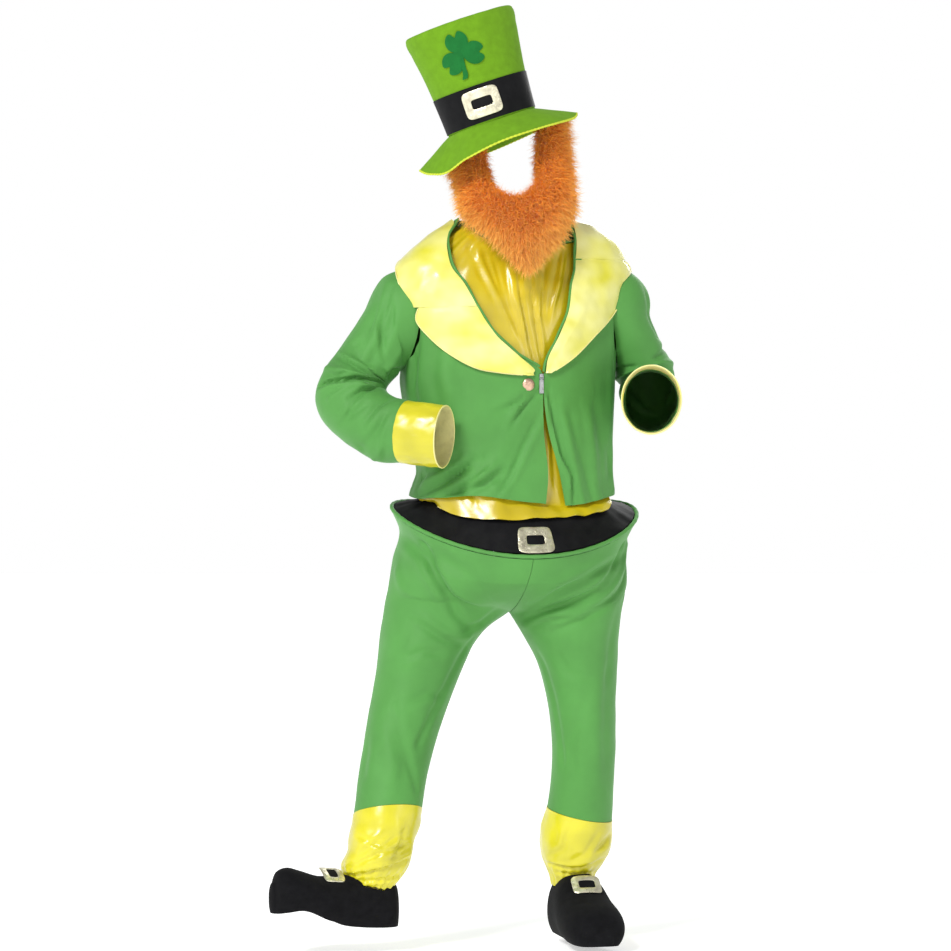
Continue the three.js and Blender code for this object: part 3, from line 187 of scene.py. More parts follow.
def normal_at(point, u, v):
    step = 0.004
    du = point(u + step, v) - point(u - step, v)
    dv = point(u, v + step) - point(u, v - step)
    return unit(np.cross(du, dv))


def fold_height(folds, u, v, across, up):
    """Soft ridges, or troughs where a height is negative, from (u0, v0) to (u1, v1) on a surface."""
    height = np.zeros(np.broadcast(u, v).shape)
    for u0, v0, u1, v1, width, rise in zip(*(folds[k] for k in ("u0", "v0", "u1", "v1", "width", "height"))):
        ax, ay = (u1 - u0) * across, (v1 - v0) * up
        px, py = (u - u0) * across, (v - v0) * up
        share = np.clip((px * ax + py * ay) / (ax * ax + ay * ay), 0, 1)
        height = height + rise * bell(np.hypot(px - share * ax, py - share * ay) / width)
    return height


def raised(point, height, side=1):
    """A surface moved along its own normals by a height."""
    return lambda u, v: point(u, v) + (side * height(u, v))[..., None] * normal_at(point, u, v)


def level(value):
    return lambda u, v: np.full(np.broadcast(u, v).shape, float(value))


def ripples(points, size, seed, count=7):
    """Smooth uneven waves of about one size in space, from -1 to 1, the same on every run."""
    chance = np.random.default_rng(seed)
    total = np.zeros(points.shape[:-1])
    for _ in range(count):
        way = unit(chance.normal(size=3)) / (size * chance.uniform(0.7, 1.5))
        total += np.sin(2 * math.pi * (points @ way) + chance.uniform(0, 2 * math.pi))
    return total / math.sqrt(count) / 1.4


# Creases. Each row is a route in millimetres across and above the floor, a width, a rise, and the side of the
# trough, 1 or -1, on which its ridge stands.
CREASE_END = 0.25
CREST_SHARE = 0.75
CREST_PLACE = 1.7
CREST_WIDTH = 1.25
CREST_REACH = 6


def crease_height(points, normals, creases, facing=-1, strength=1.0):
    """Soft troughs with a ridge beside them, on cloth that faces the front, or the back if facing is 1."""
    height = np.zeros(points.shape[:-1])
    x, z = points[..., 0], points[..., 2]
    for route, width, rise, ridge in creases:
        nearest = np.full(x.shape, 1e9)
        signed = np.zeros(x.shape)
        place = np.zeros(x.shape)
        lengths = [math.dist(a, b) for a, b in zip(route, route[1:])]
        before = 0
        for (x0, z0), (x1, z1), length in zip(route, route[1:], lengths):
            ax, az = (x1 - x0) / length, (z1 - z0) / length
            run = (x - x0) * ax + (z - z0) * az
            share = np.clip(run, 0, length)
            gap = np.hypot(x - x0 - share * ax, z - z0 - share * az)
            side = (x - x0) * az - (z - z0) * ax
            closer = gap < nearest
            nearest = np.where(closer, gap, nearest)
            signed = np.where(closer, np.sign(side) * gap, signed)
            place = np.where(closer, (before + share) / sum(lengths), place)
            before += length
        fade = CREASE_END + (1 - CREASE_END) * np.sin(math.pi * np.clip(place, 0, 1)) ** 0.6
        trough = -bell(nearest / width)
        crest = CREST_SHARE * bell((signed - ridge * CREST_PLACE * width) / (CREST_WIDTH * width))
        crest = crest * (nearest < CREST_REACH * width)
        height += rise * fade * (trough + crest)
    toward = smooth((facing * normals[..., 1] - 0.05) / 0.4)
    return strength * height * toward


# Meshes

SHARP_ANGLE = math.radians(55)


def new_object(name, points, faces, materials, uv=None, body=COSTUME, replaced=()):
    mesh = bpy.data.meshes.new(name)
    mesh.from_pydata(metres(points).tolist(), [], faces)
    for material in materials:
        mesh.materials.append(material)
    if uv is not None:
        layer = mesh.uv_layers.new(name="cloth")
        corners = np.empty(len(mesh.loops), np.int32)
        mesh.loops.foreach_get("vertex_index", corners)
        layer.data.foreach_set("uv", (np.asarray(uv) / 1000)[corners].astype(np.float32).ravel())
    mesh.polygons.foreach_set("use_smooth", [True] * len(mesh.polygons))
    mesh.set_sharp_from_angle(angle=SHARP_ANGLE)
    made = bpy.data.objects.new(name, mesh)
    bpy.context.collection.objects.link(made)
    finish_piece(made, body, replaced)
    return made


def finish_piece(made, body, replaced):
    if body is None:
        return
    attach(made, body)
    if replaced:
        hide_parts(*replaced)


def grid_normals(points, closed):
    if closed:
        du = np.roll(points, -1, axis=1) - np.roll(points, 1, axis=1)
    else:
        du = np.gradient(points, axis=1)
    dv = np.gradient(points, axis=0)
    return unit(np.cross(du, dv))


def shell_faces(columns, rows, closed):
    across = columns if closed else columns + 1
    far = across * (rows + 1)
    i, j = np.meshgrid(np.arange(columns), np.arange(rows))
    i, j = i.ravel(), j.ravel()
    right = (i + 1) % across
    a, b = j * across + i, j * across + right
    c, d = (j + 1) * across + right, (j + 1) * across + i
    outer = np.stack([a, b, c, d], 1)
    inner = far + np.stack([a, d, c, b], 1)
    rims = []
    k = np.arange(columns)
    after = (k + 1) % across
    low, high = k, rows * across + k
    rims.append(np.stack([after, low, far + low, far + after], 1))
    high_after = rows * across + after
    rims.append(np.stack([high, high_after, far + high_after, far + high], 1))
    if not closed:
        m = np.arange(rows)
        left, left_up = m * across, (m + 1) * across
        rims.append(np.stack([left, left_up, far + left_up, far + left], 1))
        edge, edge_up = left + columns, left_up + columns
        rims.append(np.stack([edge_up, edge, far + edge, far + edge_up], 1))
    return outer, inner, np.concatenate(rims)


def melted(points, share):
    """A grid of points whose rows run smoothly into each other, where share is above 0."""
    for _ in range(MELT_PASSES):
        middle = (points[:-2] + 2 * points[1:-1] + points[2:]) / 4
        points[1:-1] += (middle - points[1:-1]) * share[1:-1, :, None]
    return points


def cloth(name, point, columns, rows, thickness, materials, size, slot, closed=False, side=1, detail=None,
          replaced=None, melt=None):
    """A thin closed wall on a surface. detail(points, normals, u, v) adds heights in millimetres."""
    count = columns if closed else columns + 1
    v, u = np.meshgrid(np.linspace(0, 1, rows + 1), np.arange(count) / columns, indexing="ij")
    points = point(u, v)
    if melt is not None:
        points = melted(points, melt(u, v))
    normals = grid_normals(points, closed) * side
    if detail is not None:
        points = points + normals * detail(points, normals, u, v)[..., None]
        normals = grid_normals(points, closed) * side
    inner = points - normals * thickness
    outer_faces, inner_faces, rim_faces = (part[:, ::side] for part in shell_faces(columns, rows, closed))
    faces = np.concatenate([outer_faces, rim_faces, inner_faces]).tolist()
    flat = np.stack([u * size[0], v * size[1]], -1).reshape(-1, 2)
    both = np.concatenate([points.reshape(-1, 3), inner.reshape(-1, 3)])
    made = new_object(name + "_cloth", both, faces, materials, uv=np.concatenate([flat, flat]), body=None)
    if len(materials) > 1:
        first = len(outer_faces) + len(rim_faces)
        index = np.zeros(len(faces), np.int32)
        index[first:] = 1
        made.data.polygons.foreach_set("material_index", index)
    finish_piece(made, COSTUME, [name] if replaced is None else replaced)
    return made


def tool(name, points, faces):
    """A closed body that cuts others and is then removed."""
    return new_object(name, points, faces, [None], body=None)


def filled(point, columns, rows):
    """Points and faces of a surface that is closed in u, filled to a body with flat ends."""
    v, u = np.meshgrid(np.linspace(0, 1, rows + 1), np.arange(columns) / columns, indexing="ij")
    points = point(u, v).reshape(-1, 3)
    faces = []
    for j in range(rows):
        for i in range(columns):
            after = (i + 1) % columns
            lower, upper = j * columns, (j + 1) * columns
            faces.append((lower + i, lower + after, upper + after, upper + i))
    faces.append(tuple(range(columns - 1, -1, -1)))
    faces.append(tuple(range(rows * columns, (rows + 1) * columns)))
    return facing_out(points, faces)


def facing_out(points, faces):
    volume = 0
    for face in faces:
        a = points[face[0]]
        for k in range(1, len(face) - 1):
            volume += a @ np.cross(points[face[k]], points[face[k + 1]])
    return points, faces if volume > 0 else [tuple(reversed(face)) for face in faces]


def subtract(made, tools):
    for one in tools:
        modifier = made.modifiers.new("cut", "BOOLEAN")
        modifier.operation = "DIFFERENCE"
        modifier.solver = "MANIFOLD"
        modifier.object = one
    graph = bpy.context.evaluated_depsgraph_get()
    result = bpy.data.meshes.new_from_object(made.evaluated_get(graph))
    made.modifiers.clear()
    made.data = result
    made.data.set_sharp_from_angle(angle=SHARP_ANGLE)


def remove(tools):
    for one in tools:
        bpy.data.objects.remove(one, do_unlink=True)


def tube(name, line, radius, steps, material, sides=10, closed=False, bulge=None, replaced=()):
    """A round cord along a line. bulge(share) adds to its radius along the way."""
    count = steps if closed else steps + 1
    share = np.arange(count) / steps
    middle = line(share)
    if closed:
        heading = np.roll(middle, -1, axis=0) - np.roll(middle, 1, axis=0)
    else:
        heading = np.gradient(middle, axis=0)
    heading = unit(heading)
    across = unit(np.cross(heading, np.tile([0.0, 0.0, 1.0], (count, 1))))
    up = np.cross(across, heading)
    angles = 2 * math.pi * np.arange(sides) / sides
    spread = radius + (bulge(share) if bulge else np.zeros(count))
    ring = across[:, None] * np.cos(angles)[None, :, None] + up[:, None] * np.sin(angles)[None, :, None]
    points = (middle[:, None] + ring * spread[:, None, None]).reshape(-1, 3)
    faces = []
    for j in range(count if closed else count - 1):
        for i in range(sides):
            after = (i + 1) % sides
            far = (j + 1) % count
            faces.append((j * sides + i, j * sides + after, far * sides + after, far * sides + i))
    if not closed:
        faces.append(tuple(range(sides - 1, -1, -1)))
        faces.append(tuple(range((count - 1) * sides, count * sides)))
    points, faces = facing_out(points, faces)
    length = np.linalg.norm(np.diff(middle, axis=0), axis=1).sum()
    girth = np.arange(sides) / sides * 6.3 * radius
    uv = np.stack([np.tile(girth, count), np.repeat(share * length, sides)], -1)
    return new_object(name + "_cord", points, faces, [material], uv=uv, replaced=replaced)


# Materials


class Finish:
    """A procedural material, built step by step."""

    def __init__(self, name, colour, roughness, **sockets):
        self.material = bpy.data.materials.new(name)
        self.material.use_nodes = True
        self.nodes = self.material.node_tree.nodes
        self.links = self.material.node_tree.links
        self.shader = self.nodes["Principled BSDF"]
        self.shader.inputs["Base Color"].default_value = (*colour, 1)
        self.shader.inputs["Roughness"].default_value = roughness
        for socket, value in sockets.items():
            self.shader.inputs[socket.replace("_", " ")].default_value = value
        self.height = None

    def node(self, kind, **values):
        made = self.nodes.new(kind)
        for key, value in values.items():
            if key in made.inputs:
                made.inputs[key].default_value = value
            else:
                setattr(made, key, value)
        return made

    def noise(self, scale, detail):
        """Cloudy noise, scale being its fineness a metre, one number or one for each axis."""
        source = self.node("ShaderNodeTexCoord")
        mapping = self.node("ShaderNodeMapping")
        mapping.inputs["Scale"].default_value = scale if hasattr(scale, "__len__") else (scale,) * 3
        made = self.node("ShaderNodeTexNoise", Scale=1.0, Detail=detail, Roughness=0.55)
        self.links.new(source.outputs["Object"], mapping.inputs["Vector"])
        self.links.new(mapping.outputs["Vector"], made.inputs["Vector"])
        return made.outputs["Fac"]

    def wave(self, per_metre, direction):
        """Ribs of a weave or knit along the cloth's own width or length."""
        made = self.node("ShaderNodeTexWave", Scale=per_metre * math.pi / 10, Detail=0)
        made.bands_direction = direction
        source = self.node("ShaderNodeTexCoord")
        self.links.new(source.outputs["UV"], made.inputs["Vector"])
        return made.outputs["Fac"]

    def vary(self, factor, low, high):
        """The colour runs from low to high by a factor."""
        ramp = self.node("ShaderNodeValToRGB")
        ramp.color_ramp.elements[0].position = 0.3
        ramp.color_ramp.elements[1].position = 0.7
        ramp.color_ramp.elements[0].color = (*low, 1)
        ramp.color_ramp.elements[1].color = (*high, 1)
        self.links.new(factor, ramp.inputs["Fac"])
        self.links.new(ramp.outputs["Color"], self.shader.inputs["Base Color"])
        return ramp

    def roughness_by(self, factor, low, high):
        span = self.node("ShaderNodeMapRange")
        span.inputs["To Min"].default_value = low
        span.inputs["To Max"].default_value = high
        self.links.new(factor, span.inputs["Value"])
        self.links.new(span.outputs["Result"], self.shader.inputs["Roughness"])

    def bump(self, factor, millimetres, strength):
        made = self.node("ShaderNodeBump", Strength=strength, Distance=millimetres / 1000)
        self.links.new(factor, made.inputs["Height"])
        if self.height is not None:
            self.links.new(self.height, made.inputs["Normal"])
        self.height = made.outputs["Normal"]
        self.links.new(self.height, self.shader.inputs["Normal"])


def shade(colour, factor):
    return tuple(min(channel * factor, 1) for channel in colour)


def jersey_finish(name, colour, factor=1.0):
    made = Finish(name, colour, 0.62, Sheen_Weight=0.25, Sheen_Roughness=0.4, Specular_IOR_Level=0.32)
    made.shader.inputs["Sheen Tint"].default_value = (0.6, 1, 0.6, 1)
    made.vary(made.noise(9.0, 4.0), shade(colour, 0.9 * factor), shade(colour, 1.08 * factor))
    made.bump(made.wave(900, "X"), 0.05, 0.35)
    made.bump(made.noise((1400, 1400, 1400), 2.0), 0.05, 0.3)
    made.bump(made.noise(55.0, 3.0), 0.5, 0.25)
    return made.material


def satin_finish(name, colour, low=0.8, high=1.1, roughness=0.3, painted_light_patches=None):
    made = Finish(name, colour, roughness, Specular_IOR_Level=0.7, Coat_Weight=0.25, Coat_Roughness=0.22)
    # The colour runs by cloudy noise between a darker and a paler satin: painted shade and painted highlight
    # patches standing in for the satin's sheen.
    painted_shade_colour, painted_highlight_colour = painted_light_patches or (shade(colour, low), shade(colour, high))
    made.vary(made.noise((9, 9, 13), 2.0), painted_shade_colour, painted_highlight_colour)
    made.bump(made.noise((16, 30, 16), 3.0), 3.0, 0.3)
    made.bump(made.noise(90.0, 3.0), 0.5, 0.3)
    made.bump(made.wave(1500, "Y"), 0.03, 0.3)
    return made.material


def black_finish(name):
    made = Finish(name, (0.008, 0.008, 0.009), 0.6, Specular_IOR_Level=0.12)
    made.vary(made.noise(30.0, 3.0), (0.004, 0.004, 0.005), (0.009, 0.009, 0.01))
    made.bump(made.noise((50, 50, 16), 3.0), 1.8, 0.3)
    made.bump(made.wave(1500, "Y"), 0.03, 0.3)
    return made.material


def felt_finish(name, colour, sheen=0.3, spread=0.1):
    made = Finish(name, colour, 0.95, Sheen_Weight=sheen, Sheen_Roughness=0.6, Specular_IOR_Level=0.12)
    made.shader.inputs["Sheen Tint"].default_value = (*(min(c * 1.6 + 0.1, 1) for c in colour), 1)
    made.vary(made.noise(60.0, 6.0), shade(colour, 1 - spread), shade(colour, 1 + spread))
    made.bump(made.noise((900, 900, 900), 4.0), 0.25, 0.6)
    made.bump(made.noise(120.0, 5.0), 0.5, 0.35)
    return made.material


def foil_finish(name, colour, roughness=0.22):
    made = Finish(name, colour, roughness, Metallic=0.8)
    made.vary(made.noise(60.0, 5.0), shade(colour, 0.62), shade(colour, 1.12))
    made.roughness_by(made.noise(300.0, 3.0), 0.2, 0.42)
    made.bump(made.noise(110.0, 5.0), 3.0, 0.8)
    return made.material


def fur_finish(name, deep, tip):
    """Fur whose strands run from a deep colour at the root to a pale tip, by the strand's own length."""
    made = Finish(name, deep, 0.75, Sheen_Weight=0.2, Sheen_Roughness=0.5, Specular_IOR_Level=0.25)
    source = made.node("ShaderNodeTexCoord")
    parts = made.node("ShaderNodeSeparateXYZ")
    made.links.new(source.outputs["UV"], parts.inputs["Vector"])
    ramp = made.vary(parts.outputs["Y"], deep, tip)
    ramp.color_ramp.elements[0].position = 0.25
    ramp.color_ramp.elements[1].position = 1.0
    made.bump(made.noise((700, 700, 300), 2.0), 0.3, 0.4)
    return made.material


GREEN = (0.085, 0.29, 0.058)
YELLOW = (0.66, 0.6, 0.014)
PALE_YELLOW = (0.74, 0.7, 0.07)
GOLDEN = (0.6, 0.46, 0.008)
LIME = (0.14, 0.31, 0.012)
ORANGE = (0.9, 0.25, 0.005)
TAN = (0.96, 0.55, 0.12)

jersey = jersey_finish("jersey", GREEN)
# A copy of the jersey darkened to 0.8 for the cloth's inner faces: painted shade on the insides, not a
# different cloth.
jersey_painted_shade = jersey_finish("jersey_painted_shade", GREEN, 0.8)
satin = satin_finish("satin", YELLOW)
# The lapel and collar satin's patches run from deep yellow to almost white: painted shade and painted
# highlights.
satin_pale = satin_finish("satin_pale", PALE_YELLOW, painted_light_patches=((0.7, 0.66, 0.03), (0.88, 0.86, 0.36)))
satin_golden = satin_finish("satin_golden", GOLDEN, 0.8, 1.15, 0.28)
# A paler, whiter satin for the turned edges of lapels, collar and cuffs: painted highlight along the edges.
satin_painted_edge_highlight = satin_finish("satin_painted_edge_highlight", (0.86, 0.8, 0.3))
satin_back = felt_finish("satin_back", (0.8, 0.74, 0.34), 0.1)
black_satin = black_finish("black_satin")
felt = felt_finish("felt", LIME)
felt_edge = felt_finish("felt_edge", (0.55, 0.66, 0.05))
shamrock_felt = felt_finish("shamrock_felt", (0.012, 0.15, 0.03))
velour = felt_finish("velour", (0.006, 0.006, 0.007), 0.08, 0.3)
fur = fur_finish("fur", ORANGE, TAN)
fur_root = felt_finish("fur_root", (0.7, 0.15, 0.006))
foil = foil_finish("foil", (0.93, 0.86, 0.64))
rose_metal = foil_finish("rose_metal", (0.7, 0.46, 0.33), 0.18)
steel = foil_finish("steel", (0.4, 0.41, 0.42), 0.3)

# Torso and jacket

TORSO = table("z x half deep", [
    (903, 2, 211, 152),
    (964, 8, 201, 146),
    (1045, -1, 213, 143),
    (1117, -4, 221, 142),
    (1198, -6, 227, 144),
    (1269, -8, 234, 143),
    (1330, -6, 246, 134),
    (1366, 2, 246, 120),
    (1401, 10, 222, 107),
    (1431, 17, 192, 97),
    (1457, 13, 150, 89),
    (1472, 4, 122, 84),
])
TORSO_RINGS = len(TORSO["z"]) - 1
TORSO_BOXINESS = 0.9
HEM = table("angle lift", [
    (-90, 5), (-60, 6), (-35, 10), (0, -5), (15, -10), (50, 6), (90, 18), (140, 16), (180, 14), (230, 12),
    (270, 5),
])
JACKET_FOLDS = table("u0 v0 u1 v1 width height", [
    (-0.06, 0.02, -0.17, 0.2, 16, 5),
    (-0.11, 0.0, -0.2, 0.13, 13, -5),
    (-0.02, 0.2, -0.1, 0.04, 12, 3),
    (0.03, 0.24, 0.07, 0.0, 9, 4),
    (0.05, 0.22, 0.095, 0.0, 9, -3.5),
    (0.15, 0.3, 0.17, 0.02, 16, 4),
    (0.2, 0.36, 0.21, 0.05, 15, -4),
    (-0.215, 0.4, -0.22, 0.12, 13, -4),
    (0.3, 0.42, 0.34, 0.03, 20, 6),
    (0.37, 0.5, 0.4, 0.0, 20, -5),
    (0.45, 0.38, 0.45, 0.0, 20, 6),
    (0.53, 0.55, 0.52, 0.06, 18, -5),
    (0.6, 0.4, 0.59, 0.0, 20, 6),
    (0.68, 0.5, 0.67, 0.04, 20, -5),
    (-0.29, 0.3, -0.31, 0.0, 18, 5),
])
TORSO_GIRTH = 1150
TORSO_LENGTH = 720


def torso(angle, ring):
    """A point of the torso. angle is 0 at the front centre and 90 at the left side. ring counts rows."""
    place = ring / TORSO_RINGS
    a = np.radians(angle)
    x = along(TORSO["half"], place) * np.sign(np.sin(a)) * np.abs(np.sin(a)) ** TORSO_BOXINESS
    y = -along(TORSO["deep"], place) * np.sign(np.cos(a)) * np.abs(np.cos(a)) ** TORSO_BOXINESS
    yaw = math.radians(TORSO_YAW)
    hem = look_up(HEM, "angle", np.where(angle < -90, angle + 360, angle), "lift")
    return points_from(
        along(TORSO["x"], place) + x * math.cos(yaw) - y * math.sin(yaw),
        x * math.sin(yaw) + y * math.cos(yaw),
        along(TORSO["z"], place) + hem * np.clip(1 - ring, 0, 1),
    )


def torso_uv(u, v):
    return torso(u * 360, v * TORSO_RINGS)


def jacket_folds(u, v):
    return sum(fold_height(JACKET_FOLDS, u + turn, v, TORSO_GIRTH, TORSO_LENGTH) for turn in (0, 1, -1))


jacket_uv = raised(torso_uv, jacket_folds)


def jacket_surface(angle, ring):
    return jacket_uv(angle / 360, ring / TORSO_RINGS)


def on_jacket(angle, ring, lift):
    """A point at a height over the jacket, or under it where lift is negative."""
    u, v = np.broadcast_arrays(np.asarray(angle, float) / 360, np.asarray(ring, float) / TORSO_RINGS)
    lift = np.broadcast_to(lift, u.shape)
    return jacket_uv(u, v) + lift[..., None] * normal_at(jacket_uv, u, v)


RIGHT_EDGE = table("ring angle", [
    (0, 2.8), (2, 3.0), (3.2, 3.4), (3.6, 2.2), (3.97, -7.9), (4.6, -19.5), (5.4, -27), (6.45, -34.6),
    (8.05, -50), (9.5, -70), (11, -86),
])
LEFT_EDGE = table("ring angle", [
    (0, 13.6), (0.8, 9.8), (1.7, 6), (2.6, 4), (3.4, 4), (3.8, 5.2), (4.3, 10), (5.2, 16.8), (6.45, 18.4),
    (8.6, 22), (9.9, 30), (11, 49),
])


def edge_angle(edge, ring):
    return look_up(edge, "ring", ring, "angle")


# Sleeves

TUBE = "ox oy oz ix iy iz b"
RIGHT_SLEEVE = table(TUBE, [
    (-196, -54, 1376, -160, -54, 1190, 80),
    (-260, -60, 1352, -221, -60, 1166, 81),
    (-296, -68, 1286, -232, -68, 1153, 77),
    (-340, -78, 1219, -242, -78, 1143, 74),
    (-378, -88, 1163, -249, -88, 1135, 72),
    (-395, -100, 1112, -252, -100, 1127, 70),
    (-384, -113, 1070, -250, -113, 1119, 68),
    (-350, -128, 1032, -242, -128, 1112, 64),
    (-310, -146, 1003, -231, -146, 1107, 60),
    (-270, -162, 981, -218, -162, 1104, 57),
    (-221, -180, 978, -206, -180, 1101, 54),
    (-180, -196, 973, -168, -196, 1096, 54),
    (-140, -211, 969, -131, -211, 1090, 53),
])
LEFT_SLEEVE = table(TUBE, [
    (176, 132, 1302, 176, -14, 1302, 92),
    (212, 136, 1285, 212, -18, 1285, 84),
    (232, 137, 1254, 232, -14, 1256, 58),
    (248, 139, 1219, 248, -8, 1225, 55),
    (262, 142, 1182, 262, 0, 1198, 56),
    (274, 144, 1138, 274, 4, 1178, 58),
    (281, 132, 1090, 281, 4, 1169, 58),
    (282, 100, 1056, 282, -4, 1165, 58),
    (281, 42, 1044, 281, -20, 1164, 57),
    (279, -32, 1041, 279, -58, 1165, 57),
    (277, -106, 1039, 277, -112, 1166, 56),
    (276, -155, 1037, 276, -161, 1168, 57),
    (274, -203, 1036, 274, -209, 1170, 58),
])
SLEEVE_END = 10 / 12
SLEEVE_GIRTH = 440
SLEEVE_LENGTH = 520
CUFF_EASE = 1
ELBOW_FOLDS = table("u0 v0 u1 v1 width height", [
    (0.08, 0.46, 0.36, 0.3, 9, -5),
    (0.08, 0.5, 0.42, 0.41, 9, 5),
    (0.08, 0.53, 0.4, 0.49, 8, -6),
    (0.08, 0.57, 0.34, 0.6, 9, 4),
    (0.1, 0.6, 0.3, 0.72, 9, -4),
    (0.92, 0.46, 0.62, 0.33, 10, -5),
    (0.92, 0.51, 0.6, 0.46, 10, 5),
    (0.92, 0.56, 0.64, 0.6, 10, -5),
    (0.3, 0.12, 0.22, 0.34, 14, -6),
    (0.16, 0.14, 0.14, 0.3, 11, 5),
    (0.8, 0.14, 0.78, 0.32, 14, -6),
    (0.15, 0.98, 0.42, 0.84, 11, -5),
    (0.3, 0.99, 0.46, 0.9, 9, 4),
    (0.7, 0.97, 0.58, 0.8, 11, -5),
])


def tube_end(rows, side, place):
    return points_from(*(along(rows[side + axis], place) for axis in "xyz"))


def ringed(rows):
    """A tube's surface. u is 0 at its inner end and 0.5 at its outer end, and v runs along it."""

    def middle(place):
        return (tube_end(rows, "o", place) + tube_end(rows, "i", place)) / 2

    def point(u, v):
        u, v = np.broadcast_arrays(u, v)
        half = (tube_end(rows, "i", v) - tube_end(rows, "o", v)) / 2
        heading = middle(np.minimum(v + 0.02, 1)) - middle(np.maximum(v - 0.02, 0))
        across = unit(np.cross(heading, half)) * along(rows["b"], v)[..., None]
        angle = 2 * math.pi * u
        return middle(v) + half * np.cos(angle)[..., None] + across * np.sin(angle)[..., None]

    return point


def stretch(rows, start, end):
    whole = ringed(rows)
    return lambda u, v: whole(u, mix(start, end, v))


def end_fade(v):
    return np.clip((1 - v) / 0.08, 0, 1)


def sleeve(rows):
    return raised(
        stretch(rows, 0, SLEEVE_END),
        lambda u, v: end_fade(v) * fold_height(ELBOW_FOLDS, u, v, SLEEVE_GIRTH, SLEEVE_LENGTH),
    )


def sleeve_cuff(rows):
    return raised(stretch(rows, SLEEVE_END + 0.0008, 1), level(CUFF_EASE))


# Trousers

HOOP = {"x": 5, "half": 250, "deep": 205, "front": 792, "sides": 884, "back": 896}
HIPS = table("x half deep front sides back legShare", [
    (5, 250, 205, 786.8, 878.8, 890.8, 0),
    (2, 231, 200, 764, 831, 858, 0),
    (-4, 238, 192, 738, 780, 812, 0),
    (-8, 244, 178, 714, 738, 765, 0.3),
    (-12, 246, 160, 696, 712, 725, 0.68),
    (-12, 246, 150, 690, 700, 700, 1),
])
RIGHT_LEG = table(TUBE, [
    (-259, -14, 700, -7.3, -8, 676, 122),
    (-266, -18, 640, -64, -18, 634, 112),
    (-273, -26, 575, -94, -26, 578, 104),
    (-285, -42, 497, -126, -42, 500, 94),
    (-299, -64, 415, -153, -64, 421, 85),
    (-309, -86, 343, -171, -86, 352, 78),
    (-318, -106, 274, -181, -106, 287, 73),
    (-325, -112, 240, -186, -112, 255, 74),
    (-329, -118, 205, -197, -118, 222, 73),
    (-341, -124, 178, -206, -124, 182, 66),
    (-337, -128, 158, -226, -126, 150, 50),
    (-326, -130, 146, -248, -129, 130, 38),
])
LEFT_LEG = table(TUBE, [
    (226, 6, 705, -5.9, -8, 676, 122),
    (217, 6, 636, 22, 4, 630, 108),
    (214, 8, 565, 52, 6, 572, 98),
    (211, 10, 490, 72, 8, 494, 90),
    (210, 14, 408, 81, 12, 414, 82),
    (208, 20, 330, 80, 18, 345, 77),
    (204, 28, 252, 72, 26, 280, 74),
    (203, 30, 225, 62, 28, 244, 75),
    (199, 33, 194, 58, 30, 205, 74),
    (186, 36, 168, 64, 34, 172, 66),
    (168, 38, 146, 76, 37, 148, 54),
    (164, 39, 124, 82, 38, 126, 45),
])
HIP_RINGS = 5
LEG_RINGS = 6
LEG_HEM = LEG_RINGS / 11
CROTCH_PLACE = HIP_RINGS / (HIP_RINGS + LEG_RINGS)
MELT_SPAN = 0.1
MELT_PASSES = 240
RIGHT_TROUSER_FOLDS = table("u0 v0 u1 v1 width height", [
    (0.33, 0.06, 0.2, 0.3, 11, -7),
    (0.27, 0.14, 0.13, 0.36, 12, 5),
    (0.2, 0.32, 0.05, 0.46, 10, -6),
    (0.44, 0.2, 0.3, 0.34, 13, 4),
    (0.02, 0.5, 0.32, 0.56, 11, -7),
    (0.02, 0.54, 0.3, 0.62, 11, 5),
    (0.06, 0.6, 0.14, 0.84, 13, -5),
    (0.3, 0.76, 0.1, 0.96, 10, -4),
    (0.98, 0.5, 0.7, 0.6, 13, -7),
    (0.98, 0.56, 0.74, 0.7, 13, 5),
    (0.8, 0.05, 0.86, 0.36, 16, -7),
    (0.66, 0.04, 0.74, 0.42, 16, 6),
    (0.6, 0.66, 0.78, 0.9, 12, -5),
])
LEFT_TROUSER_FOLDS = table("u0 v0 u1 v1 width height", [
    (0.36, 0.08, 0.12, 0.36, 10, -5),
    (0.42, 0.1, 0.18, 0.4, 11, 5),
    (0.45, 0.16, 0.2, 0.46, 10, -6),
    (0.04, 0.44, 0.24, 0.46, 10, -7),
    (0.04, 0.5, 0.2, 0.58, 11, 4),
    (0.46, 0.3, 0.38, 0.66, 13, -4),
    (0.08, 0.62, 0.12, 0.86, 13, -4),
    (0.97, 0.46, 0.72, 0.54, 13, -7),
    (0.98, 0.54, 0.72, 0.66, 13, 5),
    (0.78, 0.05, 0.86, 0.36, 16, -7),
    (0.66, 0.04, 0.72, 0.42, 16, 6),
    (0.6, 0.66, 0.76, 0.9, 12, -5),
])
TROUSER_GIRTH = 620
TROUSER_LENGTH = 660


def sagging(ring, angle):
    swing = (ring["back"] - ring["front"]) / 2
    middle = (ring["front"] + ring["back"]) / 2
    twice = (ring["sides"] - middle) / 2
    return middle + twice - swing * np.cos(angle) - twice * np.cos(2 * angle)


def hip_point(ring, angle):
    x = ring["half"] * np.sin(angle)
    y = -ring["deep"] * np.cos(angle)
    yaw = math.radians(HIP_YAW)
    return points_from(
        ring["x"] + x * math.cos(yaw) - y * math.sin(yaw),
        x * math.sin(yaw) + y * math.cos(yaw),
        sagging(ring, angle),
    )


def hoop_point(share):
    return hip_point(HOOP, 2 * math.pi * share)


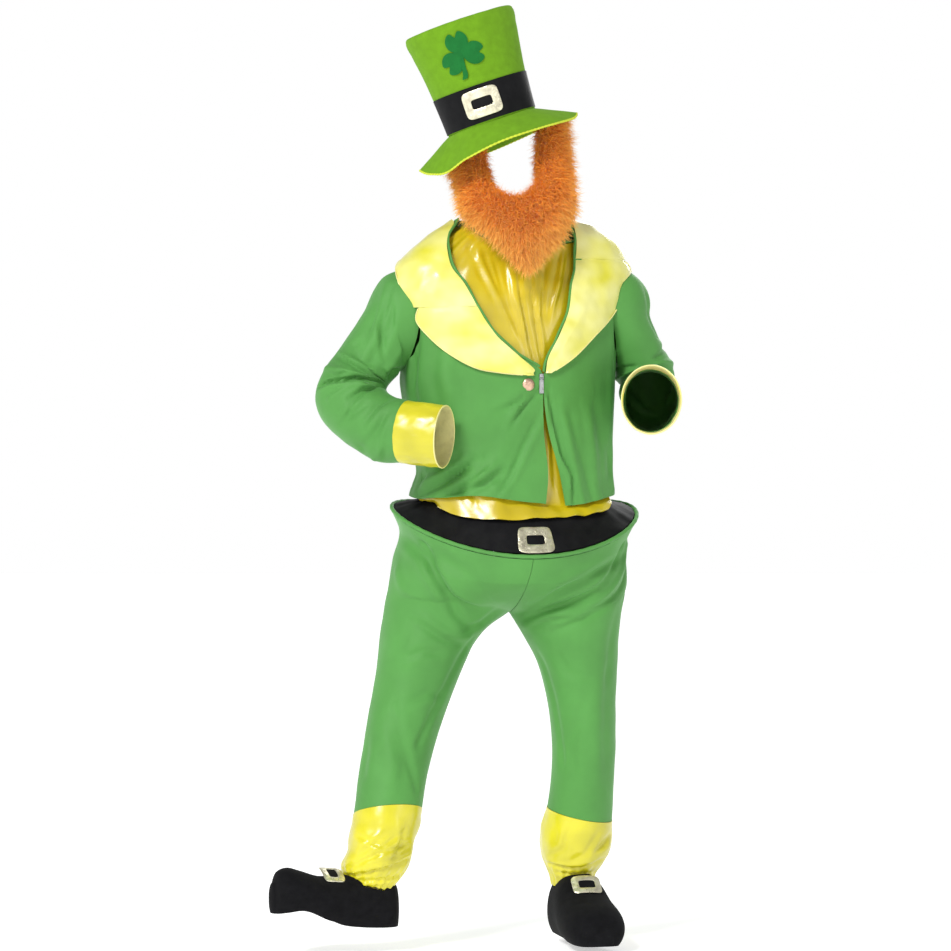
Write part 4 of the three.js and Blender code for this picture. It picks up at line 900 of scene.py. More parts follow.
def trouser_half(leg, direction):
    """One half of the trousers, laid round from its front seam over the outside to its back seam."""
    gap = 0.0006
    leg_tube = ringed(leg)

    def point(u, v):
        u, v = np.broadcast_arrays(u, v)
        around = mix(gap, 1 - gap, u)
        turned = 1 - around if direction > 0 else around
        below = np.clip((v - CROTCH_PLACE) / (1 - CROTCH_PLACE), 0, 1)
        leg_points = leg_tube(turned, below * LEG_HEM)
        place = np.clip(v / CROTCH_PLACE, 0, 1)
        ring = {name: along(column, place) for name, column in HIPS.items()}
        share = np.clip(ring["legShare"], 0, 1)[..., None]
        hips = hip_point(ring, direction * math.pi * around)
        top = leg_tube(turned, np.zeros_like(below))
        return np.where((v >= CROTCH_PLACE)[..., None], leg_points, hips + (top - hips) * share)

    return point


def seam_fade(u, v):
    return np.clip(u / 0.06, 0, 1) * np.clip((1 - u) / 0.06, 0, 1) * np.clip(v / 0.04, 0, 1)


def trouser(leg, direction, folds):
    def height(u, v):
        rise = end_fade(v) * fold_height(folds, u, v, TROUSER_GIRTH, TROUSER_LENGTH)
        return rise * np.where(v < CROTCH_PLACE, seam_fade(u, v), seam_fade(u, 1))

    return raised(trouser_half(leg, direction), height, -direction)


def crotch_share(u, v):
    return bell((v - CROTCH_PLACE) / MELT_SPAN) * np.clip(np.minimum(u, 1 - u) / 0.1, 0, 1)


CUFF_GATHERS = 6
ANKLE_TUCK = 6


def leg_cuff(rows):
    def height(u, v):
        return CUFF_EASE + 2.4 * np.sin(2 * math.pi * CUFF_GATHERS * u) * np.sin(math.pi * v) * v

    return raised(stretch(rows, LEG_HEM + 0.0012, 1), height)


def tucked(point):
    """A leg cuff whose gathered end goes down into the shoe cover."""
    return lambda u, v: point(u, v) - ANKLE_TUCK * smooth((v - 0.75) / 0.25)[..., None] * [0, 0, 1]


# Belt

WAIST = {"x": 5, "half": 168, "deep": 126, "front": 905, "sides": 908, "back": 908}
BELT_GATHERS = 8
BELT_START = 0.052
BELT_END = 0.95
BELT_GIRTH = 1250
BELT_WIDTH = 138


def belt_point(share, v):
    outer = {**HOOP, "half": HOOP["half"] - 1, "deep": HOOP["deep"] - 1}
    ring = {column: mix(outer[column], WAIST[column], v) for column in WAIST}
    return hip_point(ring, 2 * math.pi * share) + points_from(0 * v, 0 * v, 2 * np.sin(math.pi * v))


belt = raised(belt_point, lambda u, v: -1.6 * v * (1 + np.cos(2 * math.pi * BELT_GATHERS * u)))


def belt_strip(u, v):
    return belt(u, mix(BELT_START, BELT_END, v))


# Mock shirt

SHIRT_INSET = 15
HEM_DROP = 0.8
HEM_START = 0.2
SHIRT_REACH = 96
SHIRT_GATHERS = 9
NECK_DIP = 2.3
HEM_REST = 5.6
SHIRT_HEM = table("angle place", [
    (-96, 0.88), (-76, 0.76), (-54, 0.54), (-25, 0.57), (0, 0.61), (25, 0.57), (48, 0.54), (66, 0.72),
    (96, 0.9),
])
raised_belt = raised(belt_point, level(HEM_REST))


def shirt_angle(u):
    return mix(-SHIRT_REACH, SHIRT_REACH, u)


def shirt_point(u, v):
    u, v = np.broadcast_arrays(u, v)
    angle = shirt_angle(u)
    neck = TORSO_RINGS - 0.2 - NECK_DIP * np.cos(np.radians(angle)) ** 2
    ring = mix(-HEM_DROP, neck, np.sign(v) * np.abs(v) ** 1.5)
    body = on_jacket(angle, np.maximum(ring, 0), -SHIRT_INSET)
    hem = raised_belt((angle + TORSO_YAW - HIP_YAW) / 360, look_up(SHIRT_HEM, "angle", angle, "place"))
    share = np.maximum((HEM_START - ring) / (HEM_START + HEM_DROP), 0)
    return body + (hem - body) * (share * share * (2 - share))[..., None]


def shirt_waves(u, v):
    wave = np.sin(2 * math.pi * SHIRT_GATHERS * u)
    neck = np.clip((v - 0.45) / 0.5, 0, 1) * np.clip((1 - v) / 0.03, 0.35, 1)
    hem = np.clip(1 - v / 0.28, 0, 1)
    return wave * 2.6 * neck + (1 + wave) * 1.4 * hem


shirt = raised(shirt_point, shirt_waves)


def shirt_line(u):
    return raised(shirt_point, level(-SATIN / 2))(u, np.ones_like(u))


# Lapels and collar

RIGHT_LAPEL = table("ring inner outer", [
    (3.44, -0.4, -3), (3.5, -0.6, -17), (3.62, -0.6, -30), (3.97, -7.9, -45), (4.42, -16.6, -57.5),
    (4.9, -22.6, -66.4), (5.34, -26.2, -62.6),
])
LEFT_LAPEL = table("ring inner outer", [
    (3.5, 4.6, 7), (3.9, 6, 20), (4.48, 11.6, 34), (5.2, 16.8, 52), (6.17, 18, 68), (7.1, 19.2, 79),
    (7.7, 20.2, 62),
])
COLLAR = table("innerAngle innerRing outerAngle outerRing", [
    (-26, 5.3, -73, 5.3),
    (-34.2, 6.4, -80, 6.3),
    (-50, 8.0, -92, 7.1),
    (-70, 9.5, -106, 7.5),
    (-92, 10.6, -122, 7.7),
    (-132, 10.9, -146, 7.8),
    (-180, 10.9, -180, 7.8),
    (-230, 10.9, -214, 7.8),
    (-262, 10.9, -236, 7.8),
    (-292, 10.9, -252, 7.8),
    (-316, 10.5, -263, 7.8),
    (-334, 9.3, -270, 7.8),
    (-340, 7.64, -277, 7.8),
])


def lapel_lift(share):
    return mix(2.8, 6, np.clip(share * 4, 0, 1))


def lapel(rows):
    def point(u, v):
        u, v = np.broadcast_arrays(u, v)
        angle = mix(along(rows["inner"], v), along(rows["outer"], v), u)
        return on_jacket(angle, along(rows["ring"], v), lapel_lift(u) - 1.2 * smooth((v - 0.9) / 0.08))

    return point


def collar(u, v):
    u, v = np.broadcast_arrays(u, v)
    angle = mix(along(COLLAR["innerAngle"], u), along(COLLAR["outerAngle"], u), v)
    notch = mix(v, v ** 5, smooth((u - 0.93) / 0.07))
    ring = mix(along(COLLAR["innerRing"], u), along(COLLAR["outerRing"], u), notch)
    return on_jacket(angle, ring, lapel_lift(v) + 0.4)


def piping_line(edge, start, beyond):
    def line(share):
        ring = mix(start, TORSO_RINGS - 0.15, share)
        return on_jacket(edge_angle(edge, ring) + beyond, ring, 0.6)

    return line


# Where the creases lie. The tables named BACK are for cloth that faces backwards.

JACKET_CREASES = [
    (((55, 1124), (18, 1084), (-4, 1052)), 5, 3.2, 1),
    (((48, 1128), (12, 1100), (-34, 1078)), 7, 2.4, 1),
    (((55, 1075), (24, 1013), (-4, 952), (-30, 914)), 6, 2.6, -1),
    (((-71, 985), (-124, 948), (-183, 918), (-203, 905)), 8, 5.0, 1),
    (((-16, 964), (-59, 934), (-124, 917)), 10, 4.5, 1),
    (((-51, 972), (-104, 926), (-150, 912)), 6, 2.6, -1),
    (((-174, 956), (-191, 926)), 6, 3.4, 1),
    (((-187, 1249), (-195, 1180), (-203, 1109)), 6, 2.8, 1),
    (((-150, 1218), (-160, 1150), (-150, 1100)), 14, 2.0, -1),
    (((-110, 1180), (-96, 1120), (-100, 1060)), 16, 1.8, 1),
    (((71, 1128), (83, 1056), (97, 997), (120, 956), (122, 897)), 4, 3.4, 1),
    (((86, 1110), (98, 1040), (112, 980)), 8, 1.8, -1),
    (((212, 1291), (213, 1163)), 7, 3.0, 1),
    (((168, 1100), (178, 1000), (182, 930)), 12, 2.6, 1),
    (((140, 1080), (150, 990), (160, 915)), 10, 2.0, -1),
    (((196, 1010), (200, 950)), 8, 2.4, 1),
]
SLEEVE_CREASES = [
    (((-254, 1137), (-307, 1167), (-351, 1192), (-366, 1196)), 4.5, 3.4, 1),
    (((-256, 1133), (-311, 1145), (-366, 1139), (-390, 1129)), 4.5, 4.2, -1),
    (((-254, 1129), (-295, 1125), (-327, 1104)), 5, 3.0, 1),
    (((-219, 1167), (-238, 1163), (-250, 1145)), 5, 3.2, 1),
    (((-244, 1328), (-262, 1253), (-258, 1188)), 6, 3.0, 1),
    (((-262, 1300), (-290, 1240), (-300, 1200)), 9, 2.0, -1),
    (((-215, 1096), (-236, 1064), (-250, 1025), (-256, 989)), 5, 3.8, 1),
    (((-232, 1060), (-244, 1010)), 5, 2.2, -1),
    (((-290, 1095), (-320, 1075), (-345, 1050)), 7, 2.0, 1),
    (((-236, 1112), (-270, 1090), (-300, 1050)), 7, 2.2, -1),
    (((-330, 1160), (-350, 1150), (-376, 1158)), 6, 2.0, 1),
]
TROUSER_CREASES = [
    (((-219, 832), (-173, 790), (-140, 735), (-114, 680), (-75, 633)), 10, 4.6, 1),
    (((-190, 660), (-140, 628), (-100, 612)), 8, 4.0, -1),
    (((-223, 587), (-180, 602), (-144, 597)), 8, 2.6, 1),
    (((-150, 800), (-95, 760), (-60, 725)), 14, 3.0, -1),
    (((233, 796), (120, 735), (4, 672)), 9, 3.4, 1),
    (((176, 730), (110, 700), (16, 660)), 9, 3.2, -1),
    (((190, 690), (140, 664), (80, 640)), 8, 3.2, 1),
    (((200, 780), (150, 740), (80, 715)), 8, 2.4, -1),
    (((32, 769), (23, 690)), 2.6, 2.4, 1),
    (((-100, 640), (-60, 655), (-20, 690)), 7, 3.2, 1),
    (((40, 650), (70, 662), (120, 668)), 7, 3.0, -1),
    (((-208, 500), (-170, 520), (-140, 510)), 9, 2.2, 1),
    (((-250, 470), (-215, 380), (-225, 300)), 12, 2.0, 1),
    (((-290, 430), (-300, 350)), 9, 2.2, -1),
    (((150, 520), (120, 420), (125, 320)), 12, 2.0, -1),
    (((196, 560), (188, 440), (192, 330)), 12, 2.2, 1),
    (((90, 600), (110, 560), (160, 540)), 9, 2.0, 1),
]
JACKET_BACK_CREASES = [
    (((150, 1180), (110, 1120), (60, 1080), (0, 1060)), 8, 3.0, 1),
    (((-160, 1180), (-130, 1110), (-80, 1060)), 8, 3.2, -1),
    (((120, 1060), (90, 1000), (76, 930)), 9, 3.2, 1),
    (((-40, 1020), (-50, 960), (-46, 915)), 9, 3.0, -1),
    (((20, 1330), (10, 1240), (16, 1160)), 12, 1.8, 1),
    (((-120, 1310), (-140, 1240), (-170, 1200)), 9, 3.0, 1),
    (((130, 1300), (160, 1240), (180, 1200)), 9, 3.0, -1),
    (((-150, 1000), (-140, 950), (-120, 915)), 8, 2.8, 1),
]
SLEEVE_BACK_CREASES = [
    (((-250, 1150), (-300, 1180), (-350, 1190)), 6, 3.0, 1),
    (((-250, 1120), (-310, 1110), (-370, 1120)), 6, 3.2, -1),
    (((-240, 1090), (-290, 1060), (-330, 1040)), 7, 2.8, 1),
    (((-250, 1320), (-270, 1260), (-280, 1200)), 8, 2.6, 1),
    (((216, 1240), (240, 1180), (262, 1130)), 7, 3.0, 1),
    (((230, 1290), (256, 1230), (280, 1180)), 8, 2.4, -1),
    (((240, 1120), (270, 1090), (300, 1080)), 6, 3.0, 1),
]
TROUSER_BACK_CREASES = [
    (((-200, 830), (-150, 760), (-80, 700)), 9, 4.0, 1),
    (((190, 830), (140, 760), (70, 700)), 9, 4.0, -1),
    (((-230, 740), (-170, 690), (-90, 650)), 8, 3.2, 1),
    (((210, 740), (150, 690), (70, 650)), 8, 3.0, -1),
    (((-150, 640), (-200, 610), (-250, 606)), 8, 2.8, 1),
    (((100, 620), (150, 590), (200, 590)), 8, 2.8, 1),
    (((-180, 470), (-230, 450), (-280, 460)), 8, 2.8, -1),
    (((-190, 430), (-240, 420), (-290, 434)), 7, 2.4, 1),
    (((90, 460), (140, 440), (190, 450)), 8, 2.8, -1),
    (((-220, 360), (-260, 300), (-270, 270)), 10, 2.4, 1),
    (((110, 380), (130, 320), (140, 270)), 10, 2.4, 1),
]
LEG_CUFF_CREASES = [
    (((-329, 156), (-290, 164), (-238, 177), (-197, 193)), 4, 4.2, -1),
    (((-325, 173), (-268, 203), (-203, 223)), 5, 4.0, 1),
    (((-305, 236), (-258, 217), (-217, 246)), 5, 2.8, 1),
    (((-317, 146), (-256, 150), (-207, 160)), 3.5, 3.0, 1),
    (((-310, 196), (-285, 216), (-250, 240)), 6, 2.4, -1),
    (((-215, 250), (-224, 215), (-240, 190)), 5, 2.6, 1),
    (((60, 168), (100, 160), (138, 158), (190, 176)), 4, 4.2, -1),
    (((165, 190), (185, 204), (200, 226)), 5, 3.4, 1),
    (((90, 150), (125, 142), (168, 148)), 3.5, 3.0, 1),
    (((78, 184), (104, 200), (112, 236)), 6, 2.6, -1),
    (((120, 176), (150, 190), (176, 236)), 6, 2.4, 1),
]
SHIRT_CREASES = [
    (((10, 1372), (18, 1300), (34, 1220), (50, 1160)), 4, 3.6, 1),
    (((-16, 1376), (-6, 1310), (16, 1240)), 5, 3.0, -1),
    (((36, 1366), (42, 1300), (52, 1230), (58, 1190)), 4, 3.4, -1),
    (((-62, 1404), (-36, 1340), (-4, 1270), (30, 1205)), 5, 3.2, 1),
    (((-90, 1420), (-64, 1356), (-30, 1290)), 6, 2.8, -1),
    (((-40, 1388), (-22, 1330), (6, 1260)), 4, 2.4, 1),
    (((96, 1406), (84, 1340), (70, 1270)), 5, 3.2, -1),
    (((66, 1384), (62, 1320), (60, 1260)), 4, 2.6, 1),
    (((112, 1400), (100, 1330), (84, 1280)), 5, 2.4, 1),
    (((78, 1060), (80, 990), (84, 930)), 5, 2.6, 1),
    (((62, 1010), (58, 960), (50, 915)), 5, 2.4, -1),
    (((-90, 930), (-80, 912), (-70, 900)), 6, 2.4, 1),
]


def shirt_detail(points, normals, u, v):
    fine = 0.7 * ripples(points, 60, 50) + 0.35 * ripples(points, 26, 51)
    bunch = np.sin(2 * math.pi * (15.5 * u + 0.35 * np.sin(9 * u)))
    neck = smooth((v - 0.62) / 0.3) * np.clip((1 - v) / 0.02, 0.3, 1)
    creases = crease_height(points, normals, SHIRT_CREASES, strength=1.25)
    puffs = 1.3 * np.sin(2 * math.pi * (10.3 * u + 0.5 * np.sin(11 * u))) * smooth((0.3 - v) / 0.2)
    clear = 2.4 * smooth((0.34 - v) / 0.14)
    return creases + fine * np.clip((1 - v) / 0.05, 0, 1) + 1.1 * neck * bunch + puffs + clear


def jacket_detail(points, normals, u, v):
    fine = 0.45 * ripples(points, 46, 3) + 0.9 * ripples(points, 130, 4)
    back = crease_height(points, normals, JACKET_BACK_CREASES, facing=1, strength=1.5)
    return crease_height(points, normals, JACKET_CREASES, strength=2.3) + back + fine


def sleeve_detail(points, normals, u, v):
    fade = end_fade(v)
    fine = 0.35 * ripples(points, 40, 5) + 0.5 * ripples(points, 90, 6)
    front = crease_height(points, normals, SLEEVE_CREASES, strength=2.1)
    return fade * (front + crease_height(points, normals, SLEEVE_BACK_CREASES, facing=1, strength=1.3) + fine)


def trouser_detail(points, normals, u, v):
    fade = np.minimum(end_fade(v), np.clip(v / 0.03, 0, 1))
    fine = 0.45 * ripples(points, 50, 7) + 1.1 * ripples(points, 150, 8)
    front = crease_height(points, normals, TROUSER_CREASES, strength=1.7)
    back = crease_height(points, normals, TROUSER_BACK_CREASES, facing=1, strength=1.5)
    return fade * (front + back + fine) * seam_fade(u, 1)


def leg_cuff_detail(points, normals, u, v):
    fine = 1.1 * ripples(points, 44, 60) + 0.5 * ripples(points, 22, 61)
    front = crease_height(points, normals, LEG_CUFF_CREASES, strength=1.2)
    behind = crease_height(points, normals, LEG_CUFF_CREASES, facing=1, strength=0.8)
    gathers = 1.3 * np.sin(2 * math.pi * (17.5 * u + 0.3 * np.sin(7 * u))) * smooth((v - 0.5) / 0.3)
    return (fine + front + behind + gathers) * np.clip(v / 0.08, 0, 1)


def satin_detail(size, rise, seed):
    def height(points, normals, u, v):
        return rise * (ripples(points, size, seed) + 0.5 * ripples(points, size / 2, seed + 1))

    return height


# Build the jacket

GRIDS = {
    "jacket_front_right": (90, 120),
    "jacket_front_left": (70, 120),
    "jacket_back": (110, 90),
}
SIDE_GAP = 0.08
EDGE_CORD = 1.3
CUFF_CORD = 1.5
sleeve_tables = {"right": RIGHT_SLEEVE, "left": LEFT_SLEEVE}
sleeve_tools = [
    tool("sleeve_tool_" + name, *filled(raised(sleeve(rows), level(ARMHOLE_GAP)), 60, 60))
    for name, rows in sleeve_tables.items()
]
torso_tool = tool("torso_tool", *filled(torso_uv, 120, 90))

for name, rows in sleeve_tables.items():
    made = cloth("sleeve_" + name, sleeve(rows), 96, 124, JERSEY, [jersey, jersey_painted_shade], closed=True,
                 detail=sleeve_detail, size=(SLEEVE_GIRTH, SLEEVE_LENGTH), slot="jersey")
    subtract(made, [torso_tool])
    cloth("cuff_" + name, sleeve_cuff(rows), 110, 26, SATIN, [satin, satin_back], closed=True,
          detail=satin_detail(34, 0.8, 20), size=(SLEEVE_GIRTH, 80), slot="satin")

pipings = {"right": piping_line(RIGHT_EDGE, 3.66, 0.9), "left": piping_line(LEFT_EDGE, 3.54, -0.4)}
for name, line in pipings.items():
    tube("piping_" + name, line, PIPING_RADIUS, 120, jersey, replaced=["piping_" + name])

panels = [
    ("jacket_front_right", lambda ring: -90 + SIDE_GAP, lambda ring: edge_angle(RIGHT_EDGE, ring)),
    ("jacket_front_left", lambda ring: edge_angle(LEFT_EDGE, ring), lambda ring: 90 - SIDE_GAP),
    ("jacket_back", lambda ring: 90 + SIDE_GAP, lambda ring: 270 - SIDE_GAP),
]


def panel_surface(start, end):
    def point(u, v):
        ring = v * TORSO_RINGS
        return jacket_surface(mix(start(ring), end(ring), u), ring)

    return point


for name, start, end in panels:
    made = cloth(name, panel_surface(start, end), *GRIDS[name], JERSEY, [jersey, jersey_painted_shade],
                 detail=jacket_detail, size=(300, TORSO_LENGTH), slot="jersey")
    subtract(made, sleeve_tools)

for name, rows, side in (("lapel_right", RIGHT_LAPEL, -1), ("lapel_left", LEFT_LAPEL, 1)):
    made = cloth(name, lapel(rows), 36, 70, SATIN, [satin_pale, satin_back], side=side,
                 detail=satin_detail(64, 1.3, 30), size=(120, 220), slot="satin")
    subtract(made, sleeve_tools)
made = cloth("collar", collar, 200, 30, SATIN, [satin_pale, satin_back], detail=satin_detail(64, 1.3, 40),
             size=(700, 90), slot="satin")
subtract(made, sleeve_tools)

made = cloth("shirt_front", shirt, 260, 80, SATIN, [satin_golden, satin_back], detail=shirt_detail,
             size=(700, 640), slot="satin")
subtract(made, sleeve_tools)


def edge_cord(name, line, radius, steps, closed=False):
    """The turned edge of a satin piece, a rolled edge in a paler satin that paints the highlight along it."""
    return tube(name, line, radius, steps, satin_painted_edge_highlight, sides=8, closed=closed)


def lapel_edge(surface):
    return lambda share: surface(np.ones_like(share), mix(0.03, 0.97, share))


def cuff_edge(surface):
    return lambda share: surface(share, np.full_like(share, 0.99))


for name, rows in (("lapel_right", RIGHT_LAPEL), ("lapel_left", LEFT_LAPEL)):
    made = edge_cord(name + "_edge", lapel_edge(lapel(rows)), EDGE_CORD, 120)
    subtract(made, sleeve_tools)
made = edge_cord("collar_edge", lambda share: collar(share, np.ones_like(share)), EDGE_CORD, 320)
subtract(made, sleeve_tools)
for name, rows in sleeve_tables.items():
    edge_cord("cuff_edge_" + name, cuff_edge(sleeve_cuff(rows)), CUFF_CORD, 160, closed=True)


def binding_line(share):
    return shirt_line(mix(0.03, 0.97, share)) + [0, 0, PIPING_RADIUS + 2]


tube("shirt_neck_binding", binding_line, PIPING_RADIUS, 120, jersey, replaced=["shirt_neck_binding"])
remove([*sleeve_tools, torso_tool])

# Build the trousers and belt

tube("waist_hoop", hoop_point, HOOP_RADIUS, 320, jersey, sides=12, closed=True, replaced=["waist_hoop"],
     bulge=lambda share: 0.25 * np.sin(2 * math.pi * 53 * share))
for name, leg, direction, folds in (
    ("trouser_right", RIGHT_LEG, -1, RIGHT_TROUSER_FOLDS),
    ("trouser_left", LEFT_LEG, 1, LEFT_TROUSER_FOLDS),
):
    cloth(name, trouser(leg, direction, folds), 150, 150, JERSEY, [jersey, jersey_painted_shade], side=-direction,
          detail=trouser_detail, size=(TROUSER_GIRTH, TROUSER_LENGTH), slot="jersey", melt=crotch_share)
for name, leg in (("leg_cuff_right", RIGHT_LEG), ("leg_cuff_left", LEFT_LEG)):
    cloth(name, tucked(leg_cuff(leg)), 150, 50, SATIN, [satin, satin_back], closed=True,
          detail=leg_cuff_detail, size=(460, 140), slot="satin")
cloth("belt", belt_strip, 240, 20, SATIN, [black_satin], closed=True, detail=satin_detail(40, 0.8, 70),
      size=(BELT_GIRTH, BELT_WIDTH), slot="black_satin")

# Trims and fastenings

PLATE_STEPS = 120
PLATE_CORNERS = 0.34
PLATE_SECTION = table("place rise", [
    (0, 0), (0, 0.7), (0.07, 1), (0.25, 1.2), (0.5, 1.25), (0.75, 1.2), (0.93, 1), (1, 0.7), (1, 0),
])


def plate(name, place, width, height, hole_width, hole_height, lift):
    """A foil buckle: a frame with round corners and soft edges. place(x, y, lift) gives its points."""
    steps, count = PLATE_STEPS, len(PLATE_SECTION["place"])
    v = PLATE_SECTION["place"][:, None]
    rise = PLATE_SECTION["rise"][:, None] * FOIL
    a = 2 * math.pi * np.arange(steps)[None, :] / steps
    x = mix(width, hole_width, v) / 2 * np.sign(np.cos(a)) * np.abs(np.cos(a)) ** PLATE_CORNERS
    y = mix(height, hole_height, v) / 2 * np.sign(np.sin(a)) * np.abs(np.sin(a)) ** PLATE_CORNERS
    points = place(x, y, lift + rise + 0 * x)
    faces = []
    for j in range(count):
        for i in range(steps):
            after = (i + 1) % steps
            up = (j + 1) % count
            faces.append((j * steps + i, j * steps + after, up * steps + after, up * steps + i))
    points, faces = facing_out(points.reshape(-1, 3), faces)
    new_object(name + "_plate", points, faces, [foil], replaced=[name])


BUCKLE = {"share": 0.006, "v": 0.27}
BELT_BUCKLE = (62, 60, 32, 22)


def on_belt(x, y, lift):
    share = BUCKLE["share"] + x / BELT_GIRTH
    v = BUCKLE["v"] + y / BELT_WIDTH
    return belt_point(share, v) + np.asarray(lift)[..., None] * normal_at(belt_point, share, v)


plate("belt_buckle", on_belt, *BELT_BUCKLE, 1.2)

BUTTON = {"angle": -2.6, "ring": 3.22, "lift": 0.3}
BUTTON_RADIUS = 12.5
BUTTON_RISE = 6
BUTTON_RIM = 0.9


def on_front(angle, ring, lift):
    middle = on_jacket(angle, ring, 0)
    up = unit(on_jacket(angle, ring + 0.2, 0) - middle)
    out = unit(on_jacket(angle, ring, 1) - middle)
    across = unit(np.cross(up, out))

    def place(x, y, rise):
        x, y, rise = (np.asarray(value, float)[..., None] for value in (x, y, rise))
        return middle + across * x + up * y + out * (lift + rise)

    return place


def build_button():
    place = on_front(**BUTTON)

    def dome(u, v):
        v = mix(0.02, 1, v)
        a = 2 * math.pi * u
        reach = np.minimum(v / BUTTON_RIM, 1)
        crown = BUTTON_RISE * np.sqrt(1 - 0.85 * reach ** 2)
        skirt = BUTTON_RISE * 0.39 * (1 - v) / (1 - BUTTON_RIM)
        rise = np.where(v < BUTTON_RIM, crown, skirt)
        return place(BUTTON_RADIUS * reach * np.cos(a), BUTTON_RADIUS * reach * np.sin(a), rise)

    points, faces = filled(dome, 48, 20)
    new_object("jacket_button_dome", points, faces, [rose_metal],
               replaced=["jacket_button"])


build_button()

# Hat, in its own frame: the origin is the middle of the band's lower edge, and z goes up the crown

HAT = (-41, -14, 1668)
HAT_ROLL = math.radians(-18.6)
HAT_PITCH = math.radians(2.5)
CROWN = table("z radius", [(0, 92), (40, 94.5), (80, 98), (130, 104), (180, 111.5), (200, 115), (209, 113)])
CROWN_HEIGHT = 209
CROWN_DEPTH = 1.04
TOP_CROWN = 3
BRIM = {"half": 169, "deep": 150, "inner": 93}
BRIM_DROOP = table("angle droop", [
    (-180, 46), (-135, 54), (-90, 44), (-60, 62), (-45, 68), (-28, 56), (0, 45), (28, 44), (50, 45), (70, 44),
    (90, 35), (135, 36), (180, 46),
])
BAND = (3, 77)
BAND_LIFT = 0.5
HAT_BUCKLE = (74, 56, 42, 20)


def hat_point(x, y, z):
    x, y, z = np.broadcast_arrays(x, y, z)
    deep = y * math.cos(HAT_PITCH) - z * math.sin(HAT_PITCH)
    tall = y * math.sin(HAT_PITCH) + z * math.cos(HAT_PITCH)
    wide = x * math.cos(HAT_ROLL) + tall * math.sin(HAT_ROLL)
    return points_from(wide, deep, -x * math.sin(HAT_ROLL) + tall * math.cos(HAT_ROLL)) + HAT


def in_hat(points):
    """The hat's own coordinates of points."""
    wide, deep, high = np.moveaxis(points - HAT, -1, 0)
    x = wide * math.cos(HAT_ROLL) - high * math.sin(HAT_ROLL)
    tall = wide * math.sin(HAT_ROLL) + high * math.cos(HAT_ROLL)
    y = deep * math.cos(HAT_PITCH) + tall * math.sin(HAT_PITCH)
    return x, y, -deep * math.sin(HAT_PITCH) + tall * math.cos(HAT_PITCH)


def on_crown(angle, z, lift):
    radius = look_up(CROWN, "z", z, "radius") + lift
    return hat_point(radius * np.sin(angle), -radius * CROWN_DEPTH * np.cos(angle), z)


def on_hat(turn, middle):
    def place(x, y, lift):
        z = middle + y
        return on_crown(turn + x / look_up(CROWN, "z", z, "radius"), z, lift)

    return place


def crown_and_top(u, v):
    """The crown's wall up to v 0.7, its round corner up to v 0.75, and the top to its middle."""
    wall, corner = 0.7, 0.75
    turned = smooth((v - wall) / (corner - wall))
    z = np.where(v < wall, mix(0.2, CROWN_HEIGHT - 3, np.minimum(v / wall, 1)), 0)
    z = np.where(v >= wall, mix(CROWN_HEIGHT - 3, CROWN_HEIGHT + FELT, np.sin(turned * math.pi / 2)), z)
    inward = np.clip((v - corner) / (1 - corner), 0, 1)
    z = z + TOP_CROWN * (1 - (1 - inward) ** 2)
    radius = look_up(CROWN, "z", np.minimum(z, CROWN_HEIGHT - 3), "radius")
    radius = radius - 4 * (1 - np.cos(turned * math.pi / 2))
    radius = radius * np.where(v > corner, np.maximum(1 - inward, 0.004), 1)
    a = 2 * math.pi * u
    return hat_point(radius * np.sin(a), -radius * CROWN_DEPTH * np.cos(a), z)


def brim_droop(angle, reach):
    return look_up(BRIM_DROOP, "angle", angle, "droop") * np.abs(reach) ** 1.05


def brim_point(u, v):
    angle = 360 * u - 180
    a = np.radians(angle)
    x = mix(BRIM["inner"], BRIM["half"], v) * np.sin(a)
    y = -mix(BRIM["inner"] * CROWN_DEPTH, BRIM["deep"], v) * np.cos(a)
    return hat_point(x, y, -0.5 - brim_droop(angle, v))


def felt_detail(rise, seed):
    def height(points, normals, u, v):
        return rise * (ripples(points, 90, seed) + 0.3 * ripples(points, 26, seed + 1))

    return height


def band_strip(u, v):
    return on_crown(2 * math.pi * u, mix(*BAND, v), BAND_LIFT + SATIN)


def brim_edge(share):
    return brim_point(share + 0.003, np.full_like(share, 0.995)) + hat_point(0, 0, -1.5) - hat_point(0, 0, 0)


cloth("hat_crown", crown_and_top, 128, 64, FELT, [felt], closed=True, detail=felt_detail(0.5, 81),
      size=(640, 300), slot="felt", replaced=["hat_crown", "hat_top"])
cloth("hat_brim", brim_point, 180, 20, FELT, [felt], closed=True, side=-1, detail=felt_detail(0.6, 83),
      size=(1000, 80), slot="felt")
cloth("hat_band", band_strip, 128, 8, SATIN, [black_satin], closed=True, detail=satin_detail(70, 0.25, 85),
      size=(620, 74), slot="black_satin")
plate("hat_buckle", on_hat(-0.09, 41), *HAT_BUCKLE, 3.2)
tube("hat_brim_edge", brim_edge, 2.1, 480, felt_edge, sides=8, closed=True,
     bulge=lambda share: 0.5 * np.sin(2 * math.pi * 120 * share))

LEAF_REACH = 48
LEAF_NOTCH = 0.26
LEAF_DIRECTIONS = (92, 208, -10, 350)
LEAF_MIDDLE = 0.985
SHAMROCK_FELT = 1.8
STEM = table("x y width", [(0, 0, 7), (-2, -14, 7), (-4, -28, 8), (-5, -40, 10), (-9, -49, 11)])
SHAMROCK_LIFT = 3.0
SHAMROCK_PLACE = (-0.17, 144)


def shamrock_reach(direction):
    leaves = []
    for leaf in LEAF_DIRECTIONS:
        off = np.minimum(np.abs(direction - math.radians(leaf)), math.pi / 3)
        shape = np.maximum(np.cos(1.5 * off), 0.02) ** 0.42
        leaves.append(LEAF_REACH * shape * (1 - LEAF_NOTCH * bell(off / 0.13)))
    return np.maximum.reduce(leaves)


